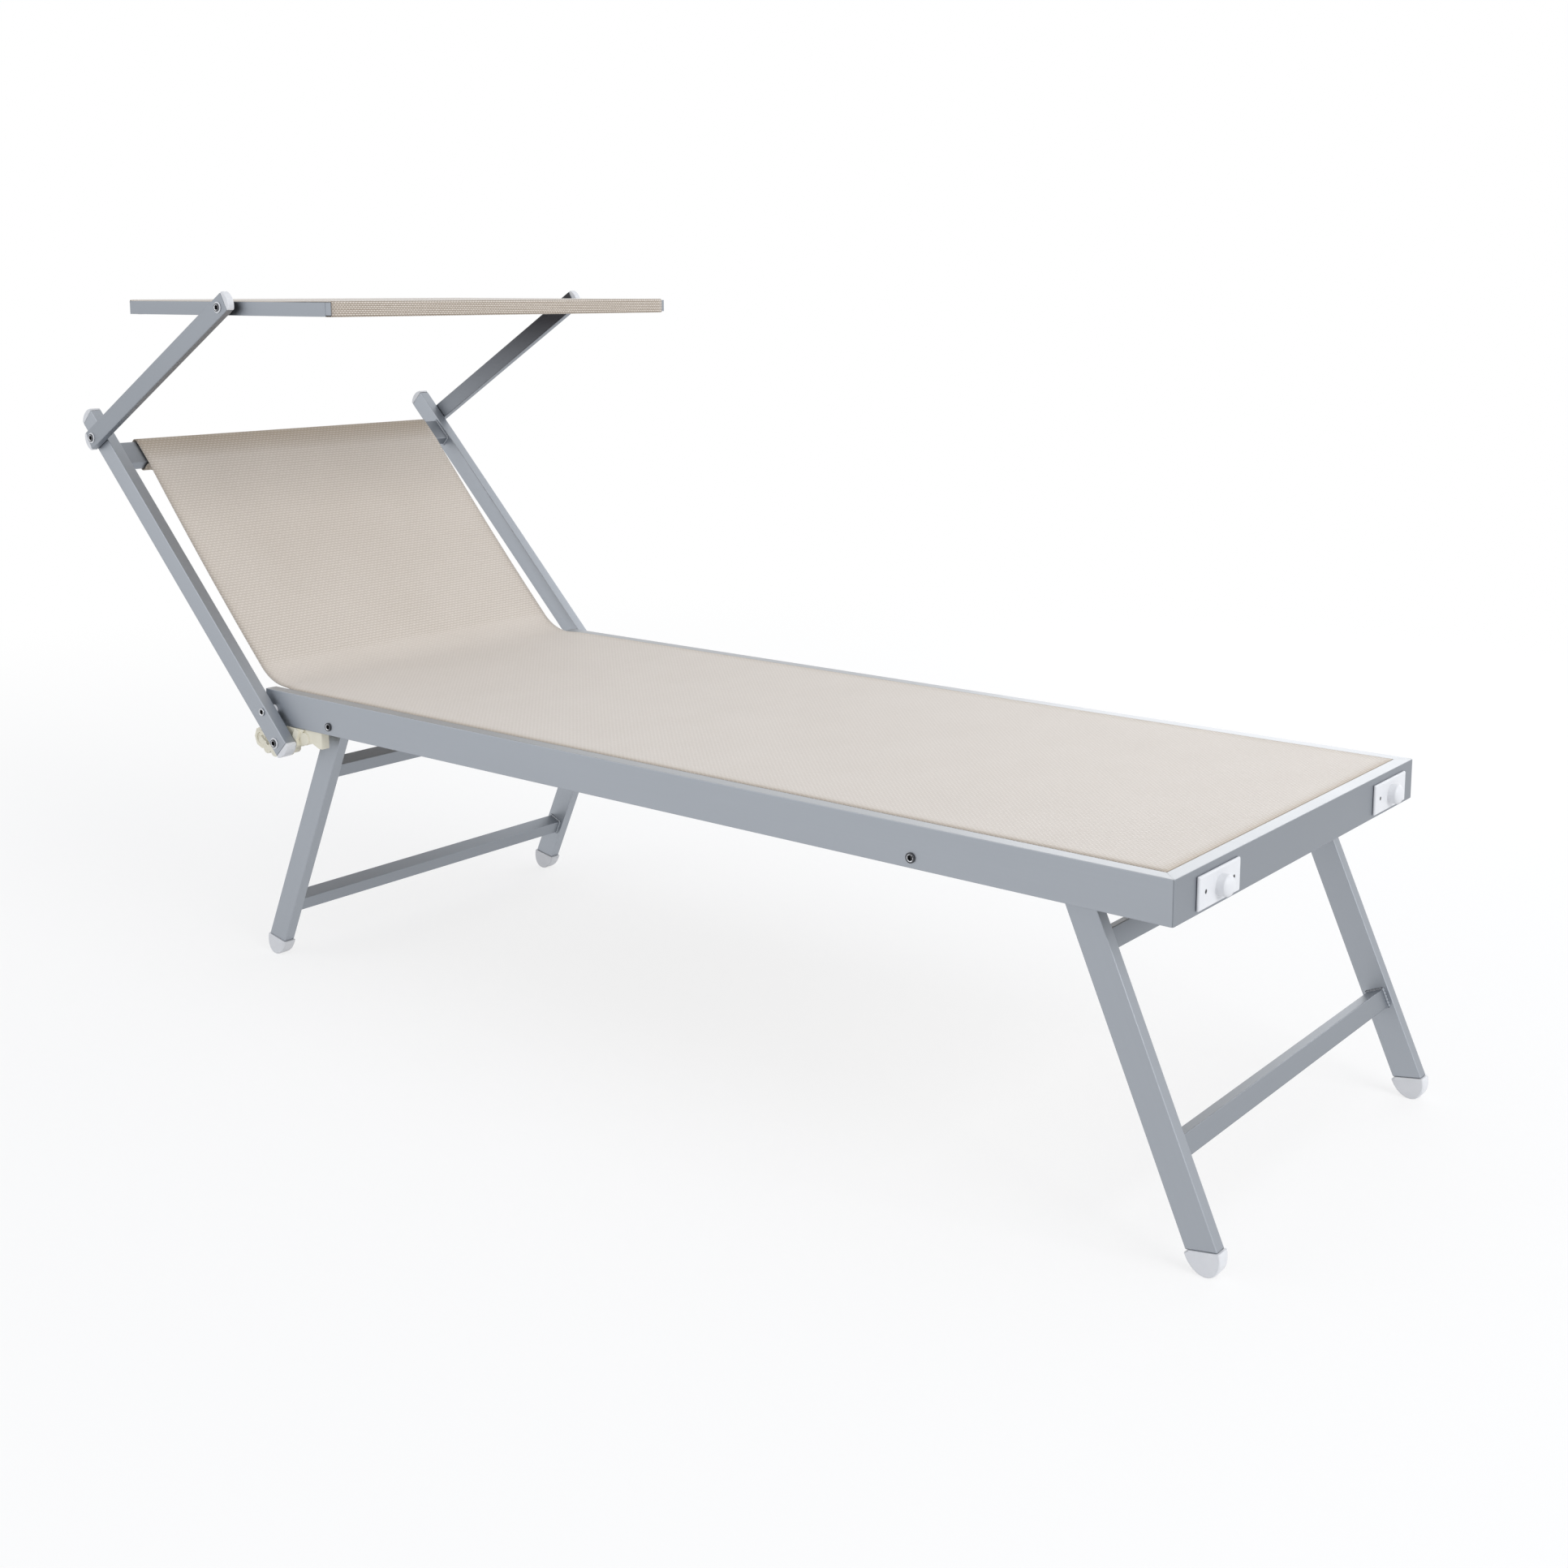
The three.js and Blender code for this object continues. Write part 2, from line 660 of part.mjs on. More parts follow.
// Leg pivot bolts: the head inside the leg, a collar that keeps the leg off the rail, and the thread
// in the rail's inner wall.
function legBolt() {
  const underHead = -legInnerOut + clearance;
  const top = underHead + legBoltHeadHeight;
  const collarStart = -legOut - clearance;
  const collarEnd = -railInnerOut + clearance;
  const tip = -railInnerOut - legBoltReach;
  const profile = [
    [0, tip], [legBoltThreadRadius, tip], [legBoltThreadRadius, collarEnd],
    [legBoltCollarRadius, collarEnd], [legBoltCollarRadius, collarStart],
    [legBoltRadius, collarStart], [legBoltRadius, underHead],
    [legBoltHeadRadius, underHead], [legBoltHeadRadius, top - boltEdge],
    [legBoltHeadRadius - boltEdge, top], [0, top],
  ];
  return cut(turned(profile), hexSocket(top, -1)).translate(0, 0, bedHeight - legPivotBelowTop);
}

addPair(bedFrame, 'rear_leg_bolt', legBolt().translate(rearLegFromHead, 0, 0), screwSteel);
addPair(bedFrame, 'front_leg_bolt', legBolt().translate(bedLength - frontLegFromFoot, 0, 0), screwSteel);

// Backrest, upright in its own frame: Z runs up its tubes, X to its front, and the pivot is at zero.
const pinX = backTubeMiddle - reclinePinBehindMiddle;
const pinZ = reclinePinFromEnd - backTubeBelowPivot;

function backTube() {
  const half = backTubeDepth / 2;
  const tube = hollow(
    [
      backTubeMiddle - half, backTubeMiddle + half, -backTubeOut, -backTubeInnerOut,
      -backTubeBelowPivot, backTubeTop,
    ],
    backTubeWall, true, true, 2,
  );
  const bothWalls = [-backTubeOut - overrun, -backTubeInnerOut + overrun];
  const outerWall = [-backTubeOut - overrun, -backTubeOut + backTubeWall + overrun];
  return cut(
    tube,
    pin(boltRadius + clearance, ...bothWalls, 0, 0),
    pin(reclinePinRadius + clearance, ...bothWalls, pinX, pinZ),
    pin(boltRadius + clearance, ...outerWall, backTubeMiddle, armPivotUp),
  );
}

function backTubeCap(plug) {
  return endCap({
    width: backTubeDepth, fromOut: backTubeInnerOut, toOut: backTubeOut, wall: backTubeWall, plug,
  });
}

addPair(backrest, 'backrest_tube', backTube(), satinAluminium);
addPair(backrest, 'backrest_top_cap', backTubeCap(plugLength).translate(backTubeMiddle, 0, backTubeTop),
  whitePlastic);
addPair(backrest, 'backrest_bottom_cap',
  backTubeCap(plugRoom(reclinePinFromEnd, reclinePinRadius)).rotateY(Math.PI)
    .translate(backTubeMiddle, 0, -backTubeBelowPivot),
  whitePlastic);

// Top bar between the tubes, inside the sleeve of the sling.
const topBarMiddle = backTubeMiddle + topBarForward;
const topBarUp = backTubeTop - topBarFromTop;
const barBack = topBarMiddle - topBarDepth / 2;
const barFront = topBarMiddle + topBarDepth / 2;
const barBottom = topBarUp - topBarHeight / 2;
const barTop = topBarUp + topBarHeight / 2;
const barEnd = backTubeInnerOut - clearance;
const topBar = hollow([barBack, barFront, -barEnd, barEnd, barBottom, barTop], backTubeWall, true, true, 1);
add(backrest, 'backrest_top_bar', topBar, satinAluminium);

// Backrest sling: a sleeve round the top bar and a sheet that runs down from its front, tangent to the
// bend above the hinge, and stops at the middle of that bend, where the seat sling takes over.
function backSling() {
  const roundBar = (grow, end) => box(
    barBack - grow, barFront + grow, -end, end, barBottom - grow, barTop + grow,
  );
  const sleeve = cut(
    roundBar(clearance + slingThickness, slingHalfWidth),
    roundBar(clearance, slingHalfWidth + overrun),
  );

  // The sheet is drawn level, in the bed's directions from the pivot, and then turned into the backrest.
  const top = new THREE.Vector2(barFront + slingThickness, barBottom - clearance - slingThickness / 2);
  top.rotateAround(new THREE.Vector2(0, 0), -backrestTurn);
  const centre = new THREE.Vector2(slingBendStart - pivotFromHead, slingTop - pivotHeight + slingBendRadius);
  const reach = centre.clone().sub(top);
  const straight = Math.sqrt(reach.lengthSq() - slingBendRadius * slingBendRadius);
  const heading = reach.angle() - Math.asin(slingBendRadius / reach.length());
  const bendFrom = heading - Math.PI / 2;
  const bendTo = 1.5 * Math.PI - Math.asin((slingBendStart + slingSplit) / slingBendRadius);
  const towards = (angle, distance) => new THREE.Vector2(Math.cos(angle), Math.sin(angle))
    .multiplyScalar(distance);
  const bendStart = top.clone().add(towards(heading, straight));
  const behind = towards(bendFrom, slingThickness);
  const sheet = new THREE.Shape();
  sheet.moveTo(top.x, top.y);
  sheet.lineTo(bendStart.x, bendStart.y);
  sheet.absarc(centre.x, centre.y, slingBendRadius, bendFrom, bendTo, false);
  sheet.absarc(centre.x, centre.y, slingBendRadius + slingThickness, bendTo, bendFrom, true);
  sheet.lineTo(top.x + behind.x, top.y + behind.y);
  const down = new THREE.ExtrudeGeometry(sheet, {
    depth: 2 * slingHalfWidth, bevelEnabled: false, curveSegments: slingBendSteps,
  }).rotateX(Math.PI / 2).translate(0, slingHalfWidth, 0).rotateY(-backrestTurn);
  return join(sleeve, down);
}

add(backrest, 'backrest_fabric', backSling(), slingBeige);

// Backrest bolts: the hinge bolt into the rail's outer wall with a white spacer round it in the gap,
// and the pin that runs along the quadrant of the bracket.
addPair(backrest, 'backrest_pivot_bolt',
  bolt({ faceOut: backTubeOut, tipOut: railOut - railWall - boltReach }), screwSteel);
addPair(backrest, 'backrest_pivot_spacer', cut(
  pin(spacerRadius, -backTubeInnerOut + clearance, -railOut - clearance, 0, 0, roundSides),
  pin(boltRadius + clearance, -backTubeOut, -railOut + overrun),
), whitePlastic);
addPair(backrest, 'recline_pin', bolt({
  faceOut: backTubeOut,
  tipOut: backTubeInnerOut - reclinePinProjection,
  radius: reclinePinRadius,
  ringed: true,
}).translate(pinX, 0, pinZ), screwSteel);

// Canopy arms, upright in their own frame with the lower pivot at zero.
function canopyArm() {
  const half = armWidth / 2;
  const outer = [-half, half, -armOut, -armInnerOut, -armBelowPivot, armSpan + armAbovePivot];
  const bothWalls = [-armOut - overrun, -armInnerOut + overrun];
  return cut(
    hollow(outer, armWall, true, true, 2),
    pin(bushRadius + clearance, ...bothWalls, 0, 0),
    pin(bushRadius + clearance, ...bothWalls, 0, armSpan),
  );
}

function armCap(endToBolt) {
  const plug = plugRoom(endToBolt, bushRadius);
  return endCap({ width: armWidth, fromOut: armInnerOut, toOut: armOut, wall: armWall, plug });
}

addPair(canopyArms, 'canopy_arm', canopyArm(), satinAluminium);
addPair(canopyArms, 'arm_lower_cap',
  armCap(armBelowPivot).rotateY(Math.PI).translate(0, 0, -armBelowPivot), whitePlastic);
addPair(canopyArms, 'arm_upper_cap',
  armCap(armAbovePivot).translate(0, 0, armSpan + armAbovePivot), whitePlastic);
addPair(canopyArms, 'arm_lower_bolt', bolt({
  faceOut: armOut,
  tipOut: backTubeOut - backTubeWall - boltReach,
  ringed: true,
  bushOut: backTubeOut + clearance,
}), screwSteel);
addPair(canopyArms, 'arm_upper_bolt', bolt({
  faceOut: armOut,
  tipOut: canopyOut - canopyRailWall - boltReach,
  ringed: true,
  bushOut: armInnerOut,
}).translate(0, 0, armSpan), screwSteel);

// Canopy, level in its own frame with the arm pivot at zero.
const canopyRear = -canopyPivotFromRear;
const canopyFront = canopyLength - canopyPivotFromRear;
const canopyBottom = -canopyRailDrop - canopyRailHeight / 2;
const canopyTop = -canopyRailDrop + canopyRailHeight / 2;
const canopyInnerOut = canopyOut - canopyRailThickness;
const fabricWrap = clearance + canopyFabricThickness;
const frontBarFront = canopyFront - fabricWrap;
const frontBarRear = frontBarFront - canopyBarDepth;
const rearBarRear = canopyRear + fabricWrap;
const rearBarFront = rearBarRear + canopyBarDepth;
const canopyBarBottom = canopyBottom + fabricWrap;

function canopyRail() {
  const rail = hollow(
    [canopyRear, frontBarRear - clearance, -canopyOut, -canopyInnerOut, canopyBottom, canopyTop],
    canopyRailWall, false, true, 0,
  );
  return cut(rail, pin(boltRadius + clearance, -canopyOut - overrun, -canopyOut + canopyRailWall + overrun));
}

// The front bar runs across both side rails. Its ends are closed, and a screw hole opens each end's
// back wall behind the side rail.
function canopyFrontBar() {
  const outer = [frontBarRear, frontBarFront, -canopyOut, canopyOut, canopyBarBottom, canopyTop];
  const railMiddleOut = canopyOut - canopyRailThickness / 2;
  const barMiddle = (canopyBarBottom + canopyTop) / 2;
  const holes = [-railMiddleOut, railMiddleOut].map((y) => new THREE.CylinderGeometry(
    railScrewRadius, railScrewRadius, canopyRailWall + 2 * overrun, boltSides,
  ).rotateZ(Math.PI / 2).translate(frontBarRear + canopyRailWall / 2, y, barMiddle));
  return cut(hollow(outer, canopyRailWall, false, false, 1), ...holes);
}

function canopyRearBar() {
  const end = canopyInnerOut - clearance;
  const outer = [rearBarRear, rearBarFront, -end, end, canopyBarBottom, canopyTop];
  return hollow(outer, canopyRailWall, true, true, 1);
}

// The canopy sling: a sheet over both rails, folded down round the front bar and the rear bar.
function canopySling() {
  const out = canopyOut - canopyFabricInset;
  const between = canopyInnerOut - clearance;
  const under = canopyTop + clearance;
  const over = under + canopyFabricThickness;
  const hem = canopyBottom + canopyFabricThickness;
  return join(
    box(canopyRear, canopyFront, -out, out, under, over),
    box(frontBarFront + clearance, canopyFront, -out, out, canopyBottom, over),
    box(frontBarRear, canopyFront, -out, out, canopyBottom, hem),
    box(canopyRear, rearBarRear - clearance, -between, between, canopyBottom, over),
    box(canopyRear, rearBarFront, -between, between, canopyBottom, hem),
  );
}

addPair(canopy, 'canopy_rail', canopyRail(), satinAluminium);
add(canopy, 'canopy_front_bar', canopyFrontBar(), satinAluminium);
add(canopy, 'canopy_rear_bar', canopyRearBar(), satinAluminium);
add(canopy, 'canopy_fabric', canopySling(), slingBeige);
addPair(canopy, 'canopy_spacer', cut(
  pin(canopySpacerRadius, -armInnerOut + clearance, -canopyOut - clearance, 0, 0, roundSides),
  pin(boltRadius + clearance, -armOut, -canopyOut + overrun),
), blackNylon);

// Legs, hanging straight down in their own frame with the pivot at zero. "Outwards" is the way that the
// feet spread: to the head end for the rear pair and to the foot end for the front pair.
const footReach = Math.hypot(footHalfHeight * Math.cos(legSplay), footHalfWidth * Math.sin(legSplay));
const footDrop = footReach - footFlat;
const legLength = (bedHeight - legPivotBelowTop - footDrop) / Math.cos(legSplay);

// A block below the slanting end of a leg, seen in the side view.
function belowLegEnd(outwards, shift) {
  const wide = 2 * legWidth;
  const slope = wide * Math.tan(legEndCut);
  return outline([
    [outwards * -wide, -legLength + slope + shift], [outwards * wide, -legLength - slope + shift],
    [outwards * wide, -legLength - wide], [outwards * -wide, -legLength - wide],
  ]);
}

function leg(outwards) {
  const half = legWidth / 2;
  const outer = [-half, half, -legOut, -legInnerOut, -legLength - legWidth, legTopAbovePivot];
  return cut(
    hollow(outer, legWall, true, true, 2),
    acrossWidth(belowLegEnd(outwards, 0), -legOut - overrun, -legInnerOut + overrun),
    pin(legBoltRadius + clearance, -legOut - overrun, -legInnerOut + overrun),
  );
}

// A foot: a half-ellipse thicker than the leg, with its lowest point worn flat, and a plug in the leg.
function foot(outwards) {
  const shape = new THREE.Shape();
  const [a, b] = [footHalfWidth - footRound, footHalfHeight - footRound];
  shape.moveTo(-a, footHalfHeight / 2);
  shape.absellipse(0, 0, a, b, Math.PI, 2 * Math.PI, false, 0);
  shape.lineTo(a, footHalfHeight / 2);
  const middle = (legOut + legInnerOut) / 2;
  const dome = new THREE.ExtrudeGeometry(shape, {
    depth: footThickness - 2 * footRound, bevelThickness: footRound, bevelSize: footRound,
    bevelSegments: footRoundSteps, curveSegments: footSteps,
  }).rotateX(Math.PI / 2).translate(0, -middle + footThickness / 2 - footRound, -legLength);
  const tall = 2 * footHalfHeight;
  const floor = box(-tall, tall, -middle - footThickness, -middle + footThickness, -tall, 0)
    .translate(0, 0, -footDrop)
    .rotateY(outwards * legSplay)
    .translate(0, 0, -legLength);
  const inset = legWall + clearance;
  const half = legWidth / 2;
  const plug = box(
    -half + inset, half - inset, -legOut + inset, -legInnerOut - inset,
    -legLength - footHalfHeight / 2, -legLength + footPlugLength,
  );
  const below = belowLegEnd(outwards, -clearance);
  const capped = common(dome, acrossWidth(below, -middle - footThickness, -middle + footThickness));
  return cut(join(capped, plug), floor);
}

function addLegs(group, place, outwards, bracesBelowPivot) {
  addPair(group, `${place}_leg`, leg(outwards), satinAluminium);
  addPair(group, `${place}_foot`, foot(outwards), whitePlastic);
  const half = braceSize / 2;
  const end = legInnerOut - clearance;
  for (const [name, belowPivot] of Object.entries(bracesBelowPivot)) {
    const outer = [-half, half, -end, end, -belowPivot - half, -belowPivot + half];
    add(group, `${place}_leg_${name}_brace`, hollow(outer, braceWall, true, true, 1), satinAluminium);
  }
}

addLegs(rearLegs, 'rear', -1, { upper: rearUpperBraceBelowPivot, lower: rearLowerBraceBelowPivot });
addLegs(frontLegs, 'front', 1, { upper: frontUpperBraceBelowPivot, lower: frontLowerBraceBelowPivot });

// The origin is on the floor, under the middle of the lounger as it stands.
const bounds = new THREE.Box3().setFromObject(lounger, true);
const middle = bounds.getCenter(new THREE.Vector3());
for (const part of lounger.children) part.position.x -= middle.x;

export default lounger;
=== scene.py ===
"""Looks of a sun lounger with canopy: anodised aluminium tubes, beige mesh slings, plastic fittings.

Everything is in metres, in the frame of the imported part: +X to the foot end, +Z up, origin on the floor.
"""
import json
import math

import bmesh
import bpy
import numpy as np
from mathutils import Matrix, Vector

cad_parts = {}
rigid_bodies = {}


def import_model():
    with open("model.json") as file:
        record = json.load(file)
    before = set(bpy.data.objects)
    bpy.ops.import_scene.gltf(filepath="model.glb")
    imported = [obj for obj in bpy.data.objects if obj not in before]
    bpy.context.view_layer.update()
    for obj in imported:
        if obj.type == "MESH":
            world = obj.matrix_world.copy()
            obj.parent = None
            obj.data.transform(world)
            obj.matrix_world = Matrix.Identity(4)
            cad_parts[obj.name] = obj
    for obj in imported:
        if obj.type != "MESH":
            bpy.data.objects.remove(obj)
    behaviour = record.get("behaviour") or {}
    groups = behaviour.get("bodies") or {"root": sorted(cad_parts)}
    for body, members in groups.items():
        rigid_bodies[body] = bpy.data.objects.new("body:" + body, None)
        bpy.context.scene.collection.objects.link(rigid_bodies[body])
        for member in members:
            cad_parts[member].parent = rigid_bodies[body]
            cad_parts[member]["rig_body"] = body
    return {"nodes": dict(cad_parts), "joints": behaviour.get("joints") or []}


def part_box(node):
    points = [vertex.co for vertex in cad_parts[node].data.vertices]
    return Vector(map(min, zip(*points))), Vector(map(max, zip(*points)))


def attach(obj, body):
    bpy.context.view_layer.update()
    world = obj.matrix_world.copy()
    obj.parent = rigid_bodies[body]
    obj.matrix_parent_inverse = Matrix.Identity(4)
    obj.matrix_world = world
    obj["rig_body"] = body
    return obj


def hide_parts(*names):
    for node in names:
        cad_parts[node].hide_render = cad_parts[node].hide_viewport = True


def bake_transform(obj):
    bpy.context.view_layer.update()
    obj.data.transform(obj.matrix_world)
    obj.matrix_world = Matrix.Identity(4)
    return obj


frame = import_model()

scene = bpy.context.scene
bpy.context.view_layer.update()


# Camera
# The photograph was taken from beyond the foot end on the right, at about chest height, with a
# moderate lens. The optical centre is above the middle of the picture, as in a cropped wide frame.

photo_side = 1932
optical_centre_row = 703.3
camera_lens = 44.0
sensor_width = 36.0
camera_place = (1.588, -1.793, 0.9035)
camera_turn = math.radians(38.75)
camera_tilt = math.radians(8.41)

camera_data = bpy.data.cameras.new("photo_camera")
camera_data.lens = camera_lens
camera_data.sensor_width = sensor_width
camera_data.shift_y = (optical_centre_row - photo_side / 2) / photo_side
camera = bpy.data.objects.new("photo_camera", camera_data)
camera.location = camera_place
camera.rotation_euler = (math.pi / 2 - camera_tilt, 0, camera_turn)
scene.collection.objects.link(camera)
scene.camera = camera


# Floor and light
# A plain pale floor that fades into a white surround. The strongest lamp stands high beyond the foot end,
# one lights each long side, and a weak one overhead evens the tops: no shade on the slings is hard.


def srgb(red, green, blue):
    """The linear colour of three sRGB values from 0 to 255."""
    shown = np.array([red, green, blue]) / 255
    linear = np.where(shown <= 0.04045, shown / 12.92, ((shown + 0.055) / 1.055) ** 2.4)
    return (*linear.tolist(), 1.0)


floor_radius = 12.0
floor_sides = 96
floor_tone = srgb(243, 243, 243)
floor_fade_start = 0.7
floor_fade_end = 3.4
floor_near_share = 0.72
surround_tone = srgb(246, 249, 255)
surround_light = 0.74
white = (1, 1, 1, 1)


def full_turn(count):
    """The angles of a full turn in equal steps."""
    return np.linspace(0, 2 * math.pi, count, endpoint=False)


def joined(*coordinates):
    """Points from their coordinates, each an array or a number, spread over the largest."""
    return np.stack(np.broadcast_arrays(*coordinates), axis=-1)


def bare_tree(owner):
    """Switches a world or a material to nodes and clears them; returns its node tree."""
    owner.use_nodes = True
    owner.node_tree.nodes.clear()
    return owner.node_tree


def feed(tree, entry, value):
    """Links a socket to a node's input, or sets the input where the value is a number or a colour."""
    if isinstance(value, bpy.types.NodeSocket):
        tree.links.new(value, entry)
    elif value is not None:
        entry.default_value = value


def operate(tree, operation, first, second=None, third=None, clamp=False):
    """A Math node: each of its inputs is a socket or a number; returns the result's socket."""
    node = tree.nodes.new("ShaderNodeMath")
    node.operation = operation
    node.use_clamp = clamp
    for i, value in enumerate((first, second, third)):
        feed(tree, node.inputs[i], value)
    return node.outputs[0]


def map_range(tree, value, given, wanted, kind="SMOOTHSTEP"):
    """Turns a value in a given range, two numbers, into one in a wanted range; returns its socket."""
    node = tree.nodes.new("ShaderNodeMapRange")
    node.interpolation_type = kind
    tree.links.new(value, node.inputs["Value"])
    for name, bound in zip(("From Min", "From Max", "To Min", "To Max"), (*given, *wanted)):
        node.inputs[name].default_value = bound
    return node.outputs[0]


def seen_directly(tree):
    """1 for what the camera, a reflection or a refraction sees, 0 for the light that falls on surfaces."""
    path = tree.nodes.new("ShaderNodeLightPath")
    seen = operate(tree, "MAXIMUM", path.outputs["Is Camera Ray"], path.outputs["Is Glossy Ray"])
    return operate(tree, "MAXIMUM", seen, path.outputs["Is Transmission Ray"])


def emitter(tree, kind, colour, strength):
    """A Background or Emission node; returns its shader."""
    node = tree.nodes.new(f"ShaderNode{kind}")
    node.inputs["Color"].default_value = colour
    node.inputs["Strength"].default_value = strength
    return node.outputs[0]


def finish_tree(tree, kind, share, first, second):
    """Mixes two shaders by a share from 0 to 1 and ends the tree in an output for a World or a Material."""
    mix = tree.nodes.new("ShaderNodeMixShader")
    for i, source in enumerate((share, first, second)):
        tree.links.new(source, mix.inputs[i])
    tree.links.new(mix.outputs[0], tree.nodes.new(f"ShaderNodeOutput{kind}").inputs["Surface"])


world = bpy.data.worlds.new("white_surround")
scene.world = world
tree = bare_tree(world)
falling = emitter(tree, "Background", surround_tone, surround_light)
finish_tree(tree, "World", seen_directly(tree), falling, emitter(tree, "Background", white, 1.0))

corner = full_turn(floor_sides)
floor_mesh = bpy.data.meshes.new("floor")
floor_points = joined(np.cos(corner), np.sin(corner), 0) * floor_radius
floor_mesh.from_pydata(floor_points.tolist(), [], [list(range(floor_sides))])
floor = bpy.data.objects.new("floor", floor_mesh)
scene.collection.objects.link(floor)

floor_paint = bpy.data.materials.new("pale_floor")
tree = bare_tree(floor_paint)
matt = tree.nodes.new("ShaderNodeBsdfDiffuse")
matt.inputs["Color"].default_value = floor_tone
place = tree.nodes.new("ShaderNodeTexCoord")
reach = tree.nodes.new("ShaderNodeVectorMath")
reach.operation = "LENGTH"
tree.links.new(place.outputs["Object"], reach.inputs[0])
fade = map_range(tree, reach.outputs["Value"], (floor_fade_start, floor_fade_end), (floor_near_share, 1.0))
glow = emitter(tree, "Emission", white, 1.0)
finish_tree(tree, "Material", operate(tree, "MULTIPLY", fade, seen_directly(tree)), matt.outputs[0], glow)
floor_mesh.materials.append(floor_paint)


def soft_light(name, place, target, width, height, power):
    """A rectangular lamp, sized in metres and powered in watts, turned to face the target."""
    data = bpy.data.lights.new(name, "AREA")
    data.shape = "RECTANGLE"
    data.size = width
    data.size_y = height
    data.energy = power
    lamp = bpy.data.objects.new(name, data)
    lamp.location = place
    away = (np.array(place) - np.array(target)).astype(float)
    lamp.rotation_euler = (math.acos(away[2] / np.linalg.norm(away)), 0, math.atan2(away[0], -away[1]))
    scene.collection.objects.link(lamp)


soft_light("overhead", place=(1.9, 0.1, 2.9), target=(0.3, 0, 0.4), width=2.6, height=2.2, power=7)
soft_light("near_side", place=(-1.9, -3.0, 1.5), target=(-0.1, 0, 0.4), width=2.6, height=2.2, power=15)
soft_light("foot_end", place=(5.9, -0.6, 3.7), target=(-0.5, 0, 0.5), width=4.0, height=3.0, power=170)
soft_light("far_side", place=(0.1, 3.1, 1.35), target=(0.5, 0, 0.4), width=3.0, height=1.8, power=25)


# Side rails and foot rail
# Three lengths of one anodised aluminium extrusion, mitred and welded at the foot corners, with a step
# along the inner top edge that holds the edge of the sling. The extruder leaves fine lines along them.
# Their top faces are painted lighter as painted light, and faces across the bed darker as painted shade.

rail_edge = 0.0009
edge_steps = 2
weld_distance = 2e-6
flat_angle = math.radians(0.4)
rounded_angle = math.radians(32)
flat_face_weight = 100
facing_tolerance = 0.01
mitre_slack = 0.001
aluminium_tone = srgb(168, 173, 180)
aluminium_dark_tone = srgb(160, 165, 172)
across_shaded_tone = srgb(154, 159, 166)
across_shaded_dark_tone = srgb(146, 151, 158)
rail_top_lit_tone = srgb(181, 184, 188)
rail_top_lit_dark_tone = srgb(173, 176, 180)
aluminium_roughness = 0.46
aluminium_swing = 0.12
anodising_scale = (5, 14, 14)
anodising_detail = 2
line_scale = (2, 420, 420)
line_share = 0.4
line_depth = 0.000004
line_strength = 0.5


def new_group(name, inputs, outputs):
    """An empty node group from the name and kind of each socket; returns it and its two end nodes."""
    group = bpy.data.node_groups.new(name, "ShaderNodeTree")
    for direction, sockets in (("INPUT", inputs), ("OUTPUT", outputs)):
        for socket, kind in sockets.items():
            group.interface.new_socket(name=socket, in_out=direction, socket_type=f"NodeSocket{kind}")
    return group, group.nodes.new("NodeGroupInput"), group.nodes.new("NodeGroupOutput")


def noise(tree, vector, scale, detail=2.0):
    """Noise over a vector, stretched or shrunk by three scales per metre; returns a value from 0 to 1."""
    stretch = tree.nodes.new("ShaderNodeVectorMath")
    stretch.operation = "MULTIPLY"
    stretch.inputs[1].default_value = scale
    tree.links.new(vector, stretch.inputs[0])
    cloud = tree.nodes.new("ShaderNodeTexNoise")
    cloud.inputs["Scale"].default_value = 1.0
    cloud.inputs["Detail"].default_value = detail
    tree.links.new(stretch.outputs[0], cloud.inputs["Vector"])
    return cloud.outputs["Fac"]


def mix_colour(tree, share, first, second):
    """Goes from one colour to another by a share from 0 to 1; returns the result's socket."""
    node = tree.nodes.new("ShaderNodeMix")
    node.data_type = "RGBA"
    for name, value in (("Factor", share), ("A", first), ("B", second)):
        feed(tree, node.inputs[name], value)
    return node.outputs["Result"]


def finish_group(name, fine, fine_share, broad, broad_detail, swing):
    """Fine relief over broad clouds, each with its scales per metre. The colour goes from the dark tone to
    the light one with a blend of both, the roughness swings with it, and the height is the fine relief."""
    group, given, result = new_group(
        name,
        {"Place": "Vector", "Light tone": "Color", "Dark tone": "Color", "Roughness": "Float"},
        {"Colour": "Color", "Roughness": "Float", "Height": "Float"},
    )
    relief = noise(group, given.outputs["Place"], fine)
    clouds = noise(group, given.outputs["Place"], broad, broad_detail)
    broad_part = operate(group, "MULTIPLY", clouds, 1 - fine_share)
    blend = operate(group, "MULTIPLY_ADD", relief, fine_share, broad_part)
    tone = mix_colour(group, blend, given.outputs["Dark tone"], given.outputs["Light tone"])
    change = operate(group, "MULTIPLY_ADD", blend, swing, -swing / 2)
    group.links.new(tone, result.inputs["Colour"])
    group.links.new(operate(group, "ADD", given.outputs["Roughness"], change), result.inputs["Roughness"])
    group.links.new(relief, result.inputs["Height"])
    return group


def new_material(name):
    """An empty material with its shader and output; returns the material, its tree and the shader."""
    material = bpy.data.materials.new(name)
    tree = bare_tree(material)
    shader = tree.nodes.new("ShaderNodeBsdfPrincipled")
    tree.links.new(shader.outputs[0], tree.nodes.new("ShaderNodeOutputMaterial").inputs["Surface"])
    return material, tree, shader


